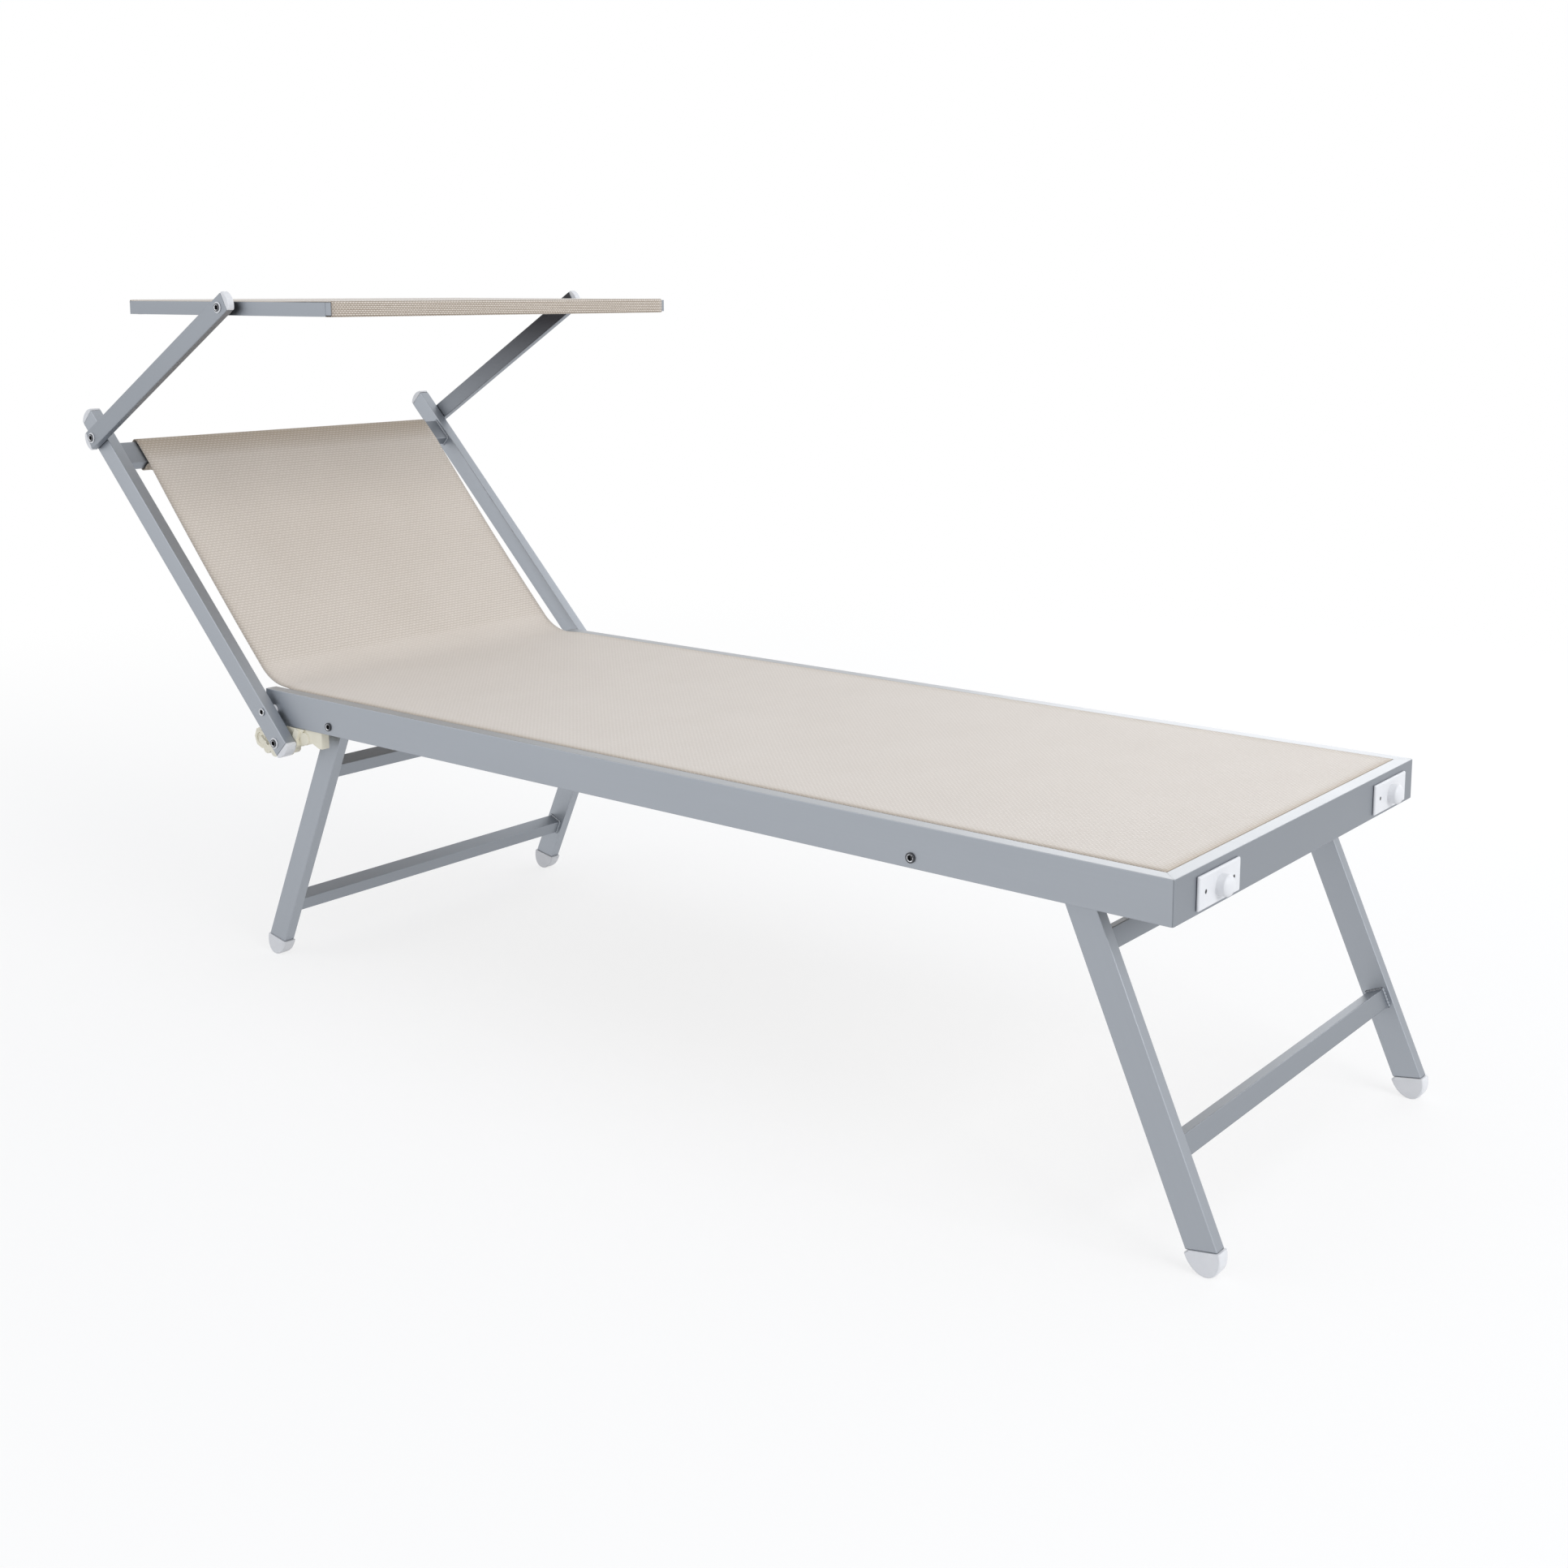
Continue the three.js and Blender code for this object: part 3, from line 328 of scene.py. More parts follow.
def raise_normal(tree, height, depth, shader, strength):
    """A Bump node of that depth in metres between a height and a shader's normal."""
    bump = tree.nodes.new("ShaderNodeBump")
    bump.inputs["Strength"].default_value = strength
    bump.inputs["Distance"].default_value = depth
    tree.links.new(height, bump.inputs["Height"])
    tree.links.new(bump.outputs[0], shader.inputs["Normal"])


def use_group(tree, group, **values):
    """Places a node group and feeds its inputs, whose names have _ for each space."""
    node = tree.nodes.new("ShaderNodeGroup")
    node.node_tree = group
    for name, value in values.items():
        feed(tree, node.inputs[name.replace("_", " ")], value)
    return node


def object_place(tree):
    """The socket of a surface point's place in its object, which is its place at rest in the frame."""
    return tree.nodes.new("ShaderNodeTexCoord").outputs["Object"]


def coat(tree, shader, group, place, light_tone, dark_tone, roughness, depth, strength):
    """Gives a shader the colour, roughness and relief of a finish group."""
    finish = use_group(tree, group, Place=place, Light_tone=light_tone, Dark_tone=dark_tone,
                       Roughness=roughness)
    tree.links.new(finish.outputs["Colour"], shader.inputs["Base Color"])
    tree.links.new(finish.outputs["Roughness"], shader.inputs["Roughness"])
    raise_normal(tree, finish.outputs["Height"], depth, shader, strength)


# The die's lines run along X, over broad faint clouds of the anodising.
extruded = finish_group("Extruded and anodised", line_scale, line_share, anodising_scale, anodising_detail,
                        aluminium_swing)


def satin_aluminium(name, turn, light_tone=aluminium_tone, dark_tone=aluminium_dark_tone):
    """The anodised finish of a tube, with its lines along the tube: turn brings X onto the tube."""
    material, tree, shader = new_material(name)
    along = tree.nodes.new("ShaderNodeMapping")
    along.inputs["Rotation"].default_value = turn
    tree.links.new(object_place(tree), along.inputs["Vector"])
    coat(tree, shader, extruded, along.outputs[0], light_tone, dark_tone, aluminium_roughness, line_depth,
         line_strength)
    shader.inputs["Metallic"].default_value = 1.0
    return material


def mitred(face):
    """True for a face inside a foot corner's mitre, which slants at half a right angle in plan."""
    diagonal = abs(abs(face.normal.x) - abs(face.normal.y)) < facing_tolerance
    upright = abs(face.normal.z) < facing_tolerance
    return diagonal and upright and face.calc_center_median().x > mitre_start


def dressed(piece, material, body):
    """Gives a new piece its material and its body; returns it."""
    piece.data.materials.append(material)
    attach(piece, body)
    return piece


def finished(node, edge, material, steps=edge_steps, welded_to=()):
    """The piece that stands for a CAD node: its own mesh with corners merged, flat faces made whole and
    every edge sharper than rounded_angle given a round of radius edge. Rails that are welded to it at a
    mitre are joined in, and the faces inside the mitre go."""
    mesh = bpy.data.meshes.new(f"{node}_finished")
    shape = bmesh.new()
    for part in (node, *welded_to):
        shape.from_mesh(frame["nodes"][part].data)
    bmesh.ops.remove_doubles(shape, verts=shape.verts, dist=weld_distance)
    if welded_to:
        shape.normal_update()
        bmesh.ops.delete(shape, geom=[face for face in shape.faces if mitred(face)], context="FACES")
    bmesh.ops.dissolve_limit(shape, angle_limit=flat_angle, verts=shape.verts, edges=shape.edges)
    for face in shape.faces:
        face.smooth = True
    shape.to_mesh(mesh)
    shape.free()
    piece = bpy.data.objects.new(f"{node}_finished", mesh)
    scene.collection.objects.link(piece)
    rounding = piece.modifiers.new("edges", "BEVEL")
    rounding.width = edge
    rounding.segments = steps
    rounding.limit_method = "ANGLE"
    rounding.angle_limit = rounded_angle
    rounding.use_clamp_overlap = False
    level = piece.modifiers.new("flat faces stay flat", "WEIGHTED_NORMAL")
    level.weight = flat_face_weight
    level.keep_sharp = True
    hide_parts(node, *welded_to)
    return dressed(piece, material, frame["nodes"][node]["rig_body"])


def triples(parts, kind):
    """Three values of each vertex or face of a mesh, such as its place or normal, as rows."""
    values = np.zeros(len(parts) * 3)
    parts.foreach_get(kind, values)
    return values.reshape(-1, 3)


def choose_materials(piece, index):
    """Gives each face of a piece the material with that index: a whole number, or true or false."""
    piece.data.polygons.foreach_set("material_index", index.astype(np.int32))


along_x = satin_aluminium("aluminium_along_bed", (0, 0, 0))
# Faces and bars across the bed take a darker tone of the same aluminium: painted shade.
along_y = satin_aluminium("aluminium_across_bed_painted_shade", (0, 0, -math.pi / 2), across_shaded_tone, across_shaded_dark_tone)
rail_top = satin_aluminium("aluminium_rail_top_painted_light", (0, 0, 0), rail_top_lit_tone, rail_top_lit_dark_tone)
mitre_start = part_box("foot_rail")[0].x - mitre_slack
side_rails = ("side_rail_right", "side_rail_left")
rails = finished("foot_rail", rail_edge, along_x, welded_to=side_rails)
rails.data.materials.append(along_y)
rails.data.materials.append(rail_top)
rail_faces = rails.data.polygons
rail_facing = triples(rail_faces, "normal")
crosswise_shaded = (np.abs(rail_facing[:, 0]) > 0.5) & (triples(rail_faces, "center")[:, 0] > 0)
# Upward faces take the lighter top tone: painted light on the rails' tops.
upward_lit = rail_facing[:, 2] > 0.5
choose_materials(rails, crosswise_shaded + 2 * upward_lit)


# Seat and backrest sling
# One length of vinyl-coated mesh. Its foot end and its sides are held in the rails, it turns up over the
# hinge in a soft bend, and a sewn sleeve at its top end holds the backrest's top bar.

sling_thickness = 0.0011
seat_level = 0.3791
seat_half_width = 0.2689
back_half_width = 0.263
seat_sag = 0.002
foot_held = 0.15
rail_exit = 0.018
rail_exit_length = 0.03
back_sag = 0.003
bend_radius = 0.072
bend_from_rail_end = 0.012
recline = math.radians(45)
bar_up = 0.4512
bar_behind = 0.0037
bar_half_height = 0.019
bar_half_depth = 0.0075
sleeve_room = 0.0023
sleeve_headroom = 0.0038
sleeve_round = 0.0048
sleeve_steps = 5
hem_length = 0.016
hem_gap = 0.0004
hem_turn = 0.002
sling_row = 0.006
sling_columns = 64

weave_across = 0.00611
weave_along = 0.00422
seat_weave_along = 0.00305
weave_change = 0.004
crossing_height = 0.6
open_height = 0.85
sling_relief = 0.00018
relief_strength = 0.8
patch_scale = (9, 9, 9)
patch_shade = 0.10
thread_scale = (160, 240, 1)
thread_detail = 1
thread_shade = 0.16
thread_tone = srgb(222, 215, 207)
gap_shade_tone = srgb(150, 134, 115)
edge_shade_tone = srgb(176, 162, 144)
edge_shade_reach = 0.013
rail_edge_shade_share = 0.8
edge_shade_past_rail = 0.5
seat_openness = 0.22
back_openness = 0.33
sleeve_shade_openness = 0.75
thread_roughness = 0.52
gap_roughness = 0.72
cloth_gloss = 0.25
cloth_sheen = 0.18
sheen_roughness = 0.5


def surface(name, points, closed_columns=False, uv=None):
    """A mesh from a grid of points (rows, columns, 3): one quad between each four neighbours."""
    rows, columns = points.shape[:2]
    index = np.arange(rows * columns).reshape(rows, columns)
    near = index if closed_columns else index[:, :-1]
    far = np.roll(index, -1, axis=1) if closed_columns else index[:, 1:]
    quads = np.stack([near[:-1], far[:-1], far[1:], near[1:]], axis=-1).reshape(-1, 4)
    mesh = bpy.data.meshes.new(name)
    mesh.from_pydata(points.reshape(-1, 3).tolist(), [], quads.tolist())
    mesh.polygons.foreach_set("use_smooth", np.ones(len(mesh.polygons), bool))
    if uv is not None:
        corner_point = np.zeros(len(mesh.loops), int)
        mesh.loops.foreach_get("vertex_index", corner_point)
        layer = mesh.uv_layers.new(name="cloth")
        layer.data.foreach_set("uv", uv.reshape(-1, 2)[corner_point].astype(np.float32).ravel())
    mesh.update()
    piece = bpy.data.objects.new(name, mesh)
    scene.collection.objects.link(piece)
    return piece


def sheet(name, points, run, cloth_shade, openness, thickness, material):
    """A woven sheet from rows of points. Its cloth map is in metres, across and along the run, and its
    points store two shares: the painted shade at its edges and over the sleeve, 1 where darkest, and
    openness, 1 where the mesh is most open, which scales the painted shade in its gaps."""
    flat = joined(points[..., 1], run[:, None])
    piece = surface(name, points[:, ::-1], uv=flat[:, ::-1])
    for attribute, share in (("cloth_shade", cloth_shade), ("openness", np.broadcast_to(openness[:, None], cloth_shade.shape))):
        layer = piece.data.attributes.new(attribute, "FLOAT", "POINT")
        layer.data.foreach_set("value", share[:, ::-1].astype(np.float32).ravel())
    piece.data.materials.append(material)
    solid = piece.modifiers.new("thickness", "SOLIDIFY")
    solid.thickness = thickness
    solid.offset = -1
    return piece


def line(start, end, step):
    """Points from start up to, but not at, end, about a step apart."""
    start, end = np.array(start, float), np.array(end, float)
    count = max(1, round(np.linalg.norm(end - start) / step))
    return start + (end - start) * (np.arange(count) / count)[:, None]


def arc(centre, radius, start, end, step):
    """Points of a circle's arc between two angles, up to but not at the end."""
    count = max(2, round(abs(end - start) * radius / step))
    angle = start + (end - start) * np.arange(count) / count
    return np.array(centre) + radius * joined(np.cos(angle), np.sin(angle))


def path_length(path):
    """Distance along a path to each of its points."""
    return np.concatenate([[0], np.cumsum(np.linalg.norm(np.diff(path, axis=0), axis=1))])


def weave_group():
    """Brick-laid floats: a row of raised threads along U, shifted by half a float in every other row.
    The height of a float is cos(pi v) (1 + cos(2 pi u)) / 2, with u and v from its middle, and the
    crossing threads rise between the floats to crossing_height of that."""
    group, given, result = new_group(
        "Woven mesh",
        {"Cloth": "Vector", "Across": "Float", "Along": "Float"},
        {"Height": "Float", "Gap": "Float"},
    )
    parts = group.nodes.new("ShaderNodeSeparateXYZ")
    group.links.new(given.outputs["Cloth"], parts.inputs[0])
    across = operate(group, "DIVIDE", parts.outputs[0], given.outputs["Across"])
    along = operate(group, "DIVIDE", parts.outputs[1], given.outputs["Along"])
    shift = operate(group, "FRACT", operate(group, "MULTIPLY", operate(group, "FLOOR", along), 0.5))
    u = operate(group, "ADD", across, shift)
    v = operate(group, "SUBTRACT", operate(group, "FRACT", along), 0.5)
    round_u = operate(group, "COSINE", operate(group, "MULTIPLY", u, 2 * math.pi))
    round_v = operate(group, "COSINE", operate(group, "MULTIPLY", v, math.pi))
    over = operate(group, "MULTIPLY", operate(group, "MULTIPLY_ADD", round_u, 0.5, 0.5), round_v)
    between = operate(group, "MULTIPLY", operate(group, "MULTIPLY_ADD", round_u, -0.5, 0.5), round_v)
    height = operate(group, "MAXIMUM", over, operate(group, "MULTIPLY", between, crossing_height))
    group.links.new(height, result.inputs["Height"])
    group.links.new(map_range(group, height, (0.0, open_height), (1.0, 0.0)), result.inputs["Gap"])
    return group


woven = weave_group()


def point_value(tree, name):
    """The socket of a share stored at the piece's points."""
    node = tree.nodes.new("ShaderNodeAttribute")
    node.attribute_name = name
    return node.outputs["Fac"]


def mesh_cloth(name, across, along, light_tone, dark_tone, relief):
    """Vinyl-coated mesh: woven floats on the piece's own cloth map, with painted shade in the gaps between
    them and along the edges whose share the piece's points store.
    """
    material, tree, shader = new_material(name)
    flat = tree.nodes.new("ShaderNodeUVMap")
    flat.uv_map = "cloth"
    cloth = flat.outputs[0]
    weave = use_group(tree, woven, Cloth=cloth, Across=across, Along=along)
    gap = weave.outputs["Gap"]
    threads = operate(tree, "MULTIPLY", noise(tree, cloth, thread_scale, thread_detail), thread_shade)
    shade = operate(tree, "MULTIPLY_ADD", noise(tree, cloth, patch_scale), patch_shade, threads)
    gaps = operate(tree, "MULTIPLY", gap, point_value(tree, "openness"))
    tone = mix_colour(tree, operate(tree, "ADD", gaps, shade, clamp=True), light_tone, dark_tone)
    shadowed = operate(tree, "MULTIPLY_ADD", gap, 0.5, 0.5)
    painted_shade_share = operate(tree, "MULTIPLY", point_value(tree, "cloth_shade"), shadowed)
    tree.links.new(mix_colour(tree, painted_shade_share, tone, edge_shade_tone), shader.inputs["Base Color"])
    roughness = operate(tree, "MULTIPLY_ADD", gap, gap_roughness - thread_roughness, thread_roughness)
    tree.links.new(roughness, shader.inputs["Roughness"])
    shader.inputs["Specular IOR Level"].default_value = cloth_gloss
    shader.inputs["Sheen Weight"].default_value = cloth_sheen
    shader.inputs["Sheen Roughness"].default_value = sheen_roughness
    raise_normal(tree, weave.outputs["Height"], relief, shader, relief_strength)
    return material


def joint_place(name):
    """Where a joint's axis passes the middle plane of the bed."""
    return next(joint["pos_m"] for joint in frame["joints"] if joint["name"] == name)


hinge_x, _, hinge_z = joint_place("backrest_recline")


def back_point(up, front):
    """Points of the backrest's side view in the frame: up its tubes from the hinge, and to its front."""
    return joined(
        hinge_x - up * math.cos(recline) + front * math.sin(recline),
        hinge_z + up * math.sin(recline) + front * math.cos(recline),
    )


# Side view of the sling, foot end first: level seat, bend, backrest, round the top bar, hem.
rail_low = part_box("side_rail_right")[0]
foot_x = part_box("seat_fabric")[1].x
sleeve_front = -bar_behind + bar_half_depth + sleeve_room
sleeve_back = -bar_behind - bar_half_depth - sleeve_room
sleeve_top = bar_up + bar_half_height + sleeve_headroom
sleeve_bottom = bar_up - bar_half_height - sleeve_room
bend_x = rail_low.x + bend_from_rail_end
bend_centre = np.array([bend_x, seat_level + bend_radius])
to_bar = back_point(sleeve_bottom, sleeve_front) - bend_centre
tangent = math.atan2(to_bar[1], to_bar[0]) + math.acos(bend_radius / np.linalg.norm(to_bar))
behind_back = np.array([math.cos(tangent), math.sin(tangent)])
bend_top = bend_centre + bend_radius * behind_back
seat_path = line((foot_x, seat_level), (bend_x, seat_level), sling_row)
bend_path = arc(bend_centre, bend_radius, 1.5 * math.pi, tangent, sling_row / 2)
back_path = line(bend_top, back_point(sleeve_bottom, sleeve_front), sling_row)
back_share = np.arange(len(back_path)) / len(back_path)
back_path = back_path + np.outer(4 * back_sag * back_share * (1 - back_share), behind_back)


def sleeve_corner(up, front, start):
    """A quarter turn round a corner of the top bar, from an angle of the backrest's own side view."""
    angle = start + np.linspace(0, math.pi / 2, sleeve_steps + 1)[:-1]
    return back_point(up + sleeve_round * np.sin(angle), front + sleeve_round * np.cos(angle))


def sleeve_line(start, end, step=sling_row / 2):
    """A straight stretch of the sleeve between two places, each up and front on the backrest."""
    return line(back_point(*start), back_point(*end), step)


top_turn = sleeve_top - sleeve_round
bottom_turn = sleeve_bottom + sleeve_round
front_turn = sleeve_front - sleeve_round
back_turn = sleeve_back + sleeve_round
hem_front = sleeve_front - sling_thickness - hem_gap
sleeve_path = np.concatenate([
    sleeve_line((sleeve_bottom, sleeve_front), (top_turn, sleeve_front)),
    sleeve_corner(top_turn, front_turn, 0),
    sleeve_line((sleeve_top, front_turn), (sleeve_top, back_turn)),
    sleeve_corner(top_turn, back_turn, math.pi / 2),
    sleeve_line((top_turn, sleeve_back), (bottom_turn, sleeve_back)),
    sleeve_corner(bottom_turn, back_turn, math.pi),
    sleeve_line((sleeve_bottom, back_turn), (sleeve_bottom, hem_front - hem_turn), sling_row / 4),
    sleeve_line((sleeve_bottom - hem_turn, hem_front), (sleeve_bottom - hem_length, hem_front)),
])
sling_path = np.concatenate([seat_path, bend_path, back_path, sleeve_path])
sling_run = path_length(sling_path)

# Across, the cloth is held in the rails along the seat and is free above them. It sags a little between.
# The rails pull it tight, so its rows lie closer and its mesh is less open on the seat, with less painted
# shade in its gaps. The rows change where the bend ends.
seat_run = sling_run[len(seat_path) - 1]
bend_run = sling_run[len(seat_path) + len(bend_path)]
width_share = np.linspace(-1, 1, sling_columns)
past_rail = np.clip((sling_run - seat_run + rail_exit) / rail_exit_length, 0, 1)
narrowing = past_rail * past_rail * (3 - 2 * past_rail)
half_width = seat_half_width + (back_half_width - seat_half_width) * narrowing
on_seat = np.clip(1 - past_rail, 0, 1) * np.clip(sling_run / foot_held, 0, 1)
off_seat = np.clip((sling_run - bend_run) / weave_change + 0.5, 0, 1)
row_spread = weave_along / seat_weave_along + (1 - weave_along / seat_weave_along) * off_seat
rows_run = np.concatenate([[0], np.cumsum(np.diff(sling_run) * (row_spread[1:] + row_spread[:-1]) / 2)])
across = half_width[:, None] * width_share[None, :]
sag = seat_sag * on_seat[:, None] * (1 - width_share[None, :] ** 2)
# Its edges are painted darker as painted shade: fully where the rails hold them, half as much above them.
from_side = np.abs(half_width[:, None] - np.abs(across)) / edge_shade_reach
from_edge = np.minimum(from_side, np.broadcast_to(sling_run[:, None] / edge_shade_reach, across.shape))
edge_shade = np.clip(1 + edge_shade_past_rail - past_rail, 0, 1)[:, None] * np.clip(1 - from_edge, 0, 1)
# From the sleeve's start the cloth is painted darker, fully past the bar's height, as painted shade where it
# wraps round the bar; its gaps get more painted shade there too.
sleeve_start = sling_run[-len(sleeve_path)]
painted_sleeve_shade = np.clip((sling_run - sleeve_start) / (2 * bar_half_height), 0, 1)
openness = seat_openness + (back_openness - seat_openness) * off_seat
sling = sheet(
    "sling",
    joined(sling_path[:, :1], across, sling_path[:, 1:] - sag),
    rows_run,
    np.maximum(rail_edge_shade_share * edge_shade, painted_sleeve_shade[:, None]),
    openness + (sleeve_shade_openness - back_openness) * painted_sleeve_shade,
    sling_thickness,
    mesh_cloth("beige_sling", weave_across, weave_along, thread_tone, gap_shade_tone, sling_relief),
)
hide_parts("seat_fabric", "backrest_fabric")
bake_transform(sling)


# Recline brackets
# A cream nylon moulding under each rail: a notched quadrant for the recline pin between an end boss at
# the head and a mounting block, with small rounds on its edges. A three-cornered web fills the block's
# heel, and the hidden link behind the rail is shallow.

bracket_edge = 0.0005
bracket_gap = 0.0004
link_depth = 0.014
link_seen_depth = 0.006
link_from_middle = 0.2725
link_tolerance = 0.0003
web_head_end = -0.468
web_foot_end = -0.421
web_toe = -0.448
web_depth = 0.031
web_near = 0.2862
web_far = 0.273
cream_tone = srgb(233, 229, 212)
cream_shade = srgb(222, 216, 196)
cream_roughness = 0.42
plastic_swing = 0.1
cloud_scale = (60, 60, 60)
cloud_detail = 3
skin_scale = (1500, 1500, 1500)
skin_share = 0.0
skin_depth = 0.00002
skin_strength = 0.4

# The fine orange-peel skin of a moulded part shows in its relief alone, and faint clouds in its colour.
moulded = finish_group("Moulded plastic", skin_scale, skin_share, cloud_scale, cloud_detail, plastic_swing)


def plastic(name, light_tone, dark_tone, roughness):
    """A moulded plastic in a light and a dark tone of one colour."""
    material, tree, shader = new_material(name)
    coat(tree, shader, moulded, object_place(tree), light_tone, dark_tone, roughness, skin_depth,
         skin_strength)
    return material


def close_seams(piece):
    """Merges the points that meet at seams and poles, faces it outwards and keeps its sharp edges sharp."""
    shape = bmesh.new()
    shape.from_mesh(piece.data)
    bmesh.ops.remove_doubles(shape, verts=shape.verts, dist=weld_distance)
    bmesh.ops.recalc_face_normals(shape, faces=shape.faces)
    for edge in shape.edges:
        if len(edge.link_faces) == 2:
            edge.smooth = edge.calc_face_angle() < rounded_angle
    shape.to_mesh(piece.data)
    shape.free()


def prism(name, outline, near, far, edge, material, body):
    """A prism along Y from an outline in the side view, with a round on its edges."""
    count = len(outline)
    ends = [[(x, y, z) for x, z in outline] for y in (near, far)]
    sides = [(i, (i + 1) % count, count + (i + 1) % count, count + i) for i in range(count)]
    mesh = bpy.data.meshes.new(name)
    mesh.from_pydata(ends[0] + ends[1], [], [*sides, tuple(range(count)), tuple(range(count, 2 * count))])
    piece = bpy.data.objects.new(name, mesh)
    scene.collection.objects.link(piece)
    close_seams(piece)
    rounding = piece.modifiers.new("edges", "BEVEL")
    rounding.width = edge
    rounding.segments = edge_steps
    return dressed(piece, material, body)


cream_nylon = plastic("cream_nylon", cream_tone, cream_shade, cream_roughness)
bracket_top = rail_low.z - bracket_gap
heel = [(web_foot_end, bracket_top), (web_head_end, bracket_top), (web_toe, bracket_top - web_depth)]
for side, sign in (("right", -1), ("left", 1)):
    bracket = finished(f"recline_bracket_{side}", bracket_edge, cream_nylon)
    for point in bracket.data.vertices:
        at_link = abs(point.co.z - bracket_top + link_depth) < link_tolerance
        if at_link and abs(point.co.y) < link_from_middle:
            point.co.z += link_depth - link_seen_depth
    prism(f"bracket_web_{side}", heel, sign * web_near, sign * web_far, bracket_edge, cream_nylon,
          "bed_frame")


# Screws of the side rails
# Dark socket screws through both walls of the rail: the head-end one holds the bracket, and the foot-end
# one carries a nylon disc inside that steadies the folded leg.

steel_tone = srgb(212, 214, 218)
steel_shade = srgb(176, 178, 183)
dark_steel_tone = srgb(98, 99, 103)
dark_steel_shade = srgb(64, 65, 68)
socket_shade_tone = srgb(46, 46, 49)
socket_shade_dark_tone = srgb(26, 26, 28)
socket_shade_roughness = 0.35
tarnish_scale = (400, 400, 400)
tarnish_detail = 3
steel_roughness = 0.06
tarnish_roughness = 0.16
turned_sides = 48
turned_edge = 0.0004
round_steps = 4
socket_half = 0.0030
socket_corner = socket_half / math.cos(math.pi / 6)
socket_bevel = 0.0004
socket_depth = 0.0032
socket_reach = 1.1 * socket_depth
rail_screw_head = 0.0055
rail_screw_rise = 0.0015
rail_screw_shank = 0.0025
disc_radius = 0.009
disc_thickness = 0.0052
disc_chamfer = 0.001
disc_from_tip = 0.001


def polished_steel(name, light_tone, dark_tone):
    """Polished steel in a light and a dark tone, a little rougher where it is light."""
    material, tree, shader = new_material(name)
    tarnish = noise(tree, object_place(tree), tarnish_scale, tarnish_detail)
    tree.links.new(mix_colour(tree, tarnish, dark_tone, light_tone), shader.inputs["Base Color"])
    roughness = operate(tree, "MULTIPLY_ADD", tarnish, tarnish_roughness, steel_roughness)
    tree.links.new(roughness, shader.inputs["Roughness"])
    shader.inputs["Metallic"].default_value = 1.0
    return material


steel = polished_steel("bright_steel", steel_tone, steel_shade)
dark_steel = polished_steel("dark_steel", dark_steel_tone, dark_steel_shade)
# A near-black matt material: painted shade for sockets and recesses.
painted_socket_shade = plastic("socket_painted_shade", socket_shade_tone, socket_shade_dark_tone, socket_shade_roughness)


def turned(name, rings, centre, side, material, body):
    """A piece turned about an axis along Y. Each ring is (radius, distance out from the middle plane,
    hex): a point at angle a lies at radius times 1 - hex + hex cos(30 deg) / cos(a within 30 deg of a
    side's middle), so hex 0 is a circle and hex 1 a hexagon with its corners at that radius."""
    radius, out, hexagonal = (np.array(column, float)[:, None] for column in zip(*rings))
    angle = full_turn(turned_sides)[None, :]
    within = (angle + math.pi / 6) % (math.pi / 3) - math.pi / 6
    reach = radius * (1 - hexagonal + hexagonal * math.cos(math.pi / 6) / np.cos(within))
    points = joined(centre[0] + reach * np.cos(angle), side * out, centre[1] + reach * np.sin(angle))
    piece = surface(name, points, closed_columns=True)
    close_seams(piece)
    return dressed(piece, material, body)


def rounded_disc(radius, bottom, top):
    """Rings of a disc's rim and top from its bottom edge, with a small round at the top edge."""
    angle = np.linspace(0, math.pi / 2, round_steps + 1)
    inner, below = radius - turned_edge, top - turned_edge
    rim = [(inner + turned_edge * math.cos(a), below + turned_edge * math.sin(a), 0) for a in angle]
    return [(radius, bottom, 0), *rim]


def hex_socket(top):
    """Rings that close a head over a hexagon socket, from its round top edge to the socket's floor."""
    return [
        (socket_corner + socket_bevel, top, 0), (socket_corner, top - socket_bevel, 1),
        (socket_corner, top - socket_depth, 1), (0, top - socket_depth, 1),
    ]


def bolt_place(node):
    """A bolt's axis in the side view, its side (-1 right, 1 left), and how far out its tip and face are."""
    low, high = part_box(node)
    side = -1 if high.y < 0 else 1
    tip, face = sorted((abs(low.y), abs(high.y)))
    return ((low.x + high.x) / 2, (low.z + high.z) / 2), side, tip, face


def socket_bolt(node, head_radius, head_rise, shank_radius, metal):
    """A socket-head bolt from its tip to its head's face, standing where its CAD node is: the socket is
    painted black as painted shade, and the chamfer at its mouth is painted bright as a painted highlight."""
    centre, side, tip, face = bolt_place(node)
    under = face - head_rise
    rings = [
        (0, tip, 0), (shank_radius - turned_edge, tip, 0), (shank_radius, tip + turned_edge, 0),
        (shank_radius, under, 0), *rounded_disc(head_radius, under, face), *hex_socket(face),
    ]
    body = frame["nodes"][node]["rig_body"]
    piece = turned(f"{node}_turned", rings, centre, side, metal, body)
    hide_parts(node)
    piece.data.materials.append(painted_socket_shade)
    piece.data.materials.append(steel)
    middle = triples(piece.data.polygons, "center")
    from_axis = np.hypot(middle[:, 0] - centre[0], middle[:, 2] - centre[1])
    below_face = face - side * middle[:, 1]
    near_axis = from_axis < socket_corner + socket_bevel
    socket_shaded = near_axis & (below_face > socket_bevel) & (below_face < socket_reach)
    chamfer_highlight = near_axis & (below_face > 0) & (below_face < socket_bevel)
    choose_materials(piece, socket_shaded + 2 * chamfer_highlight)


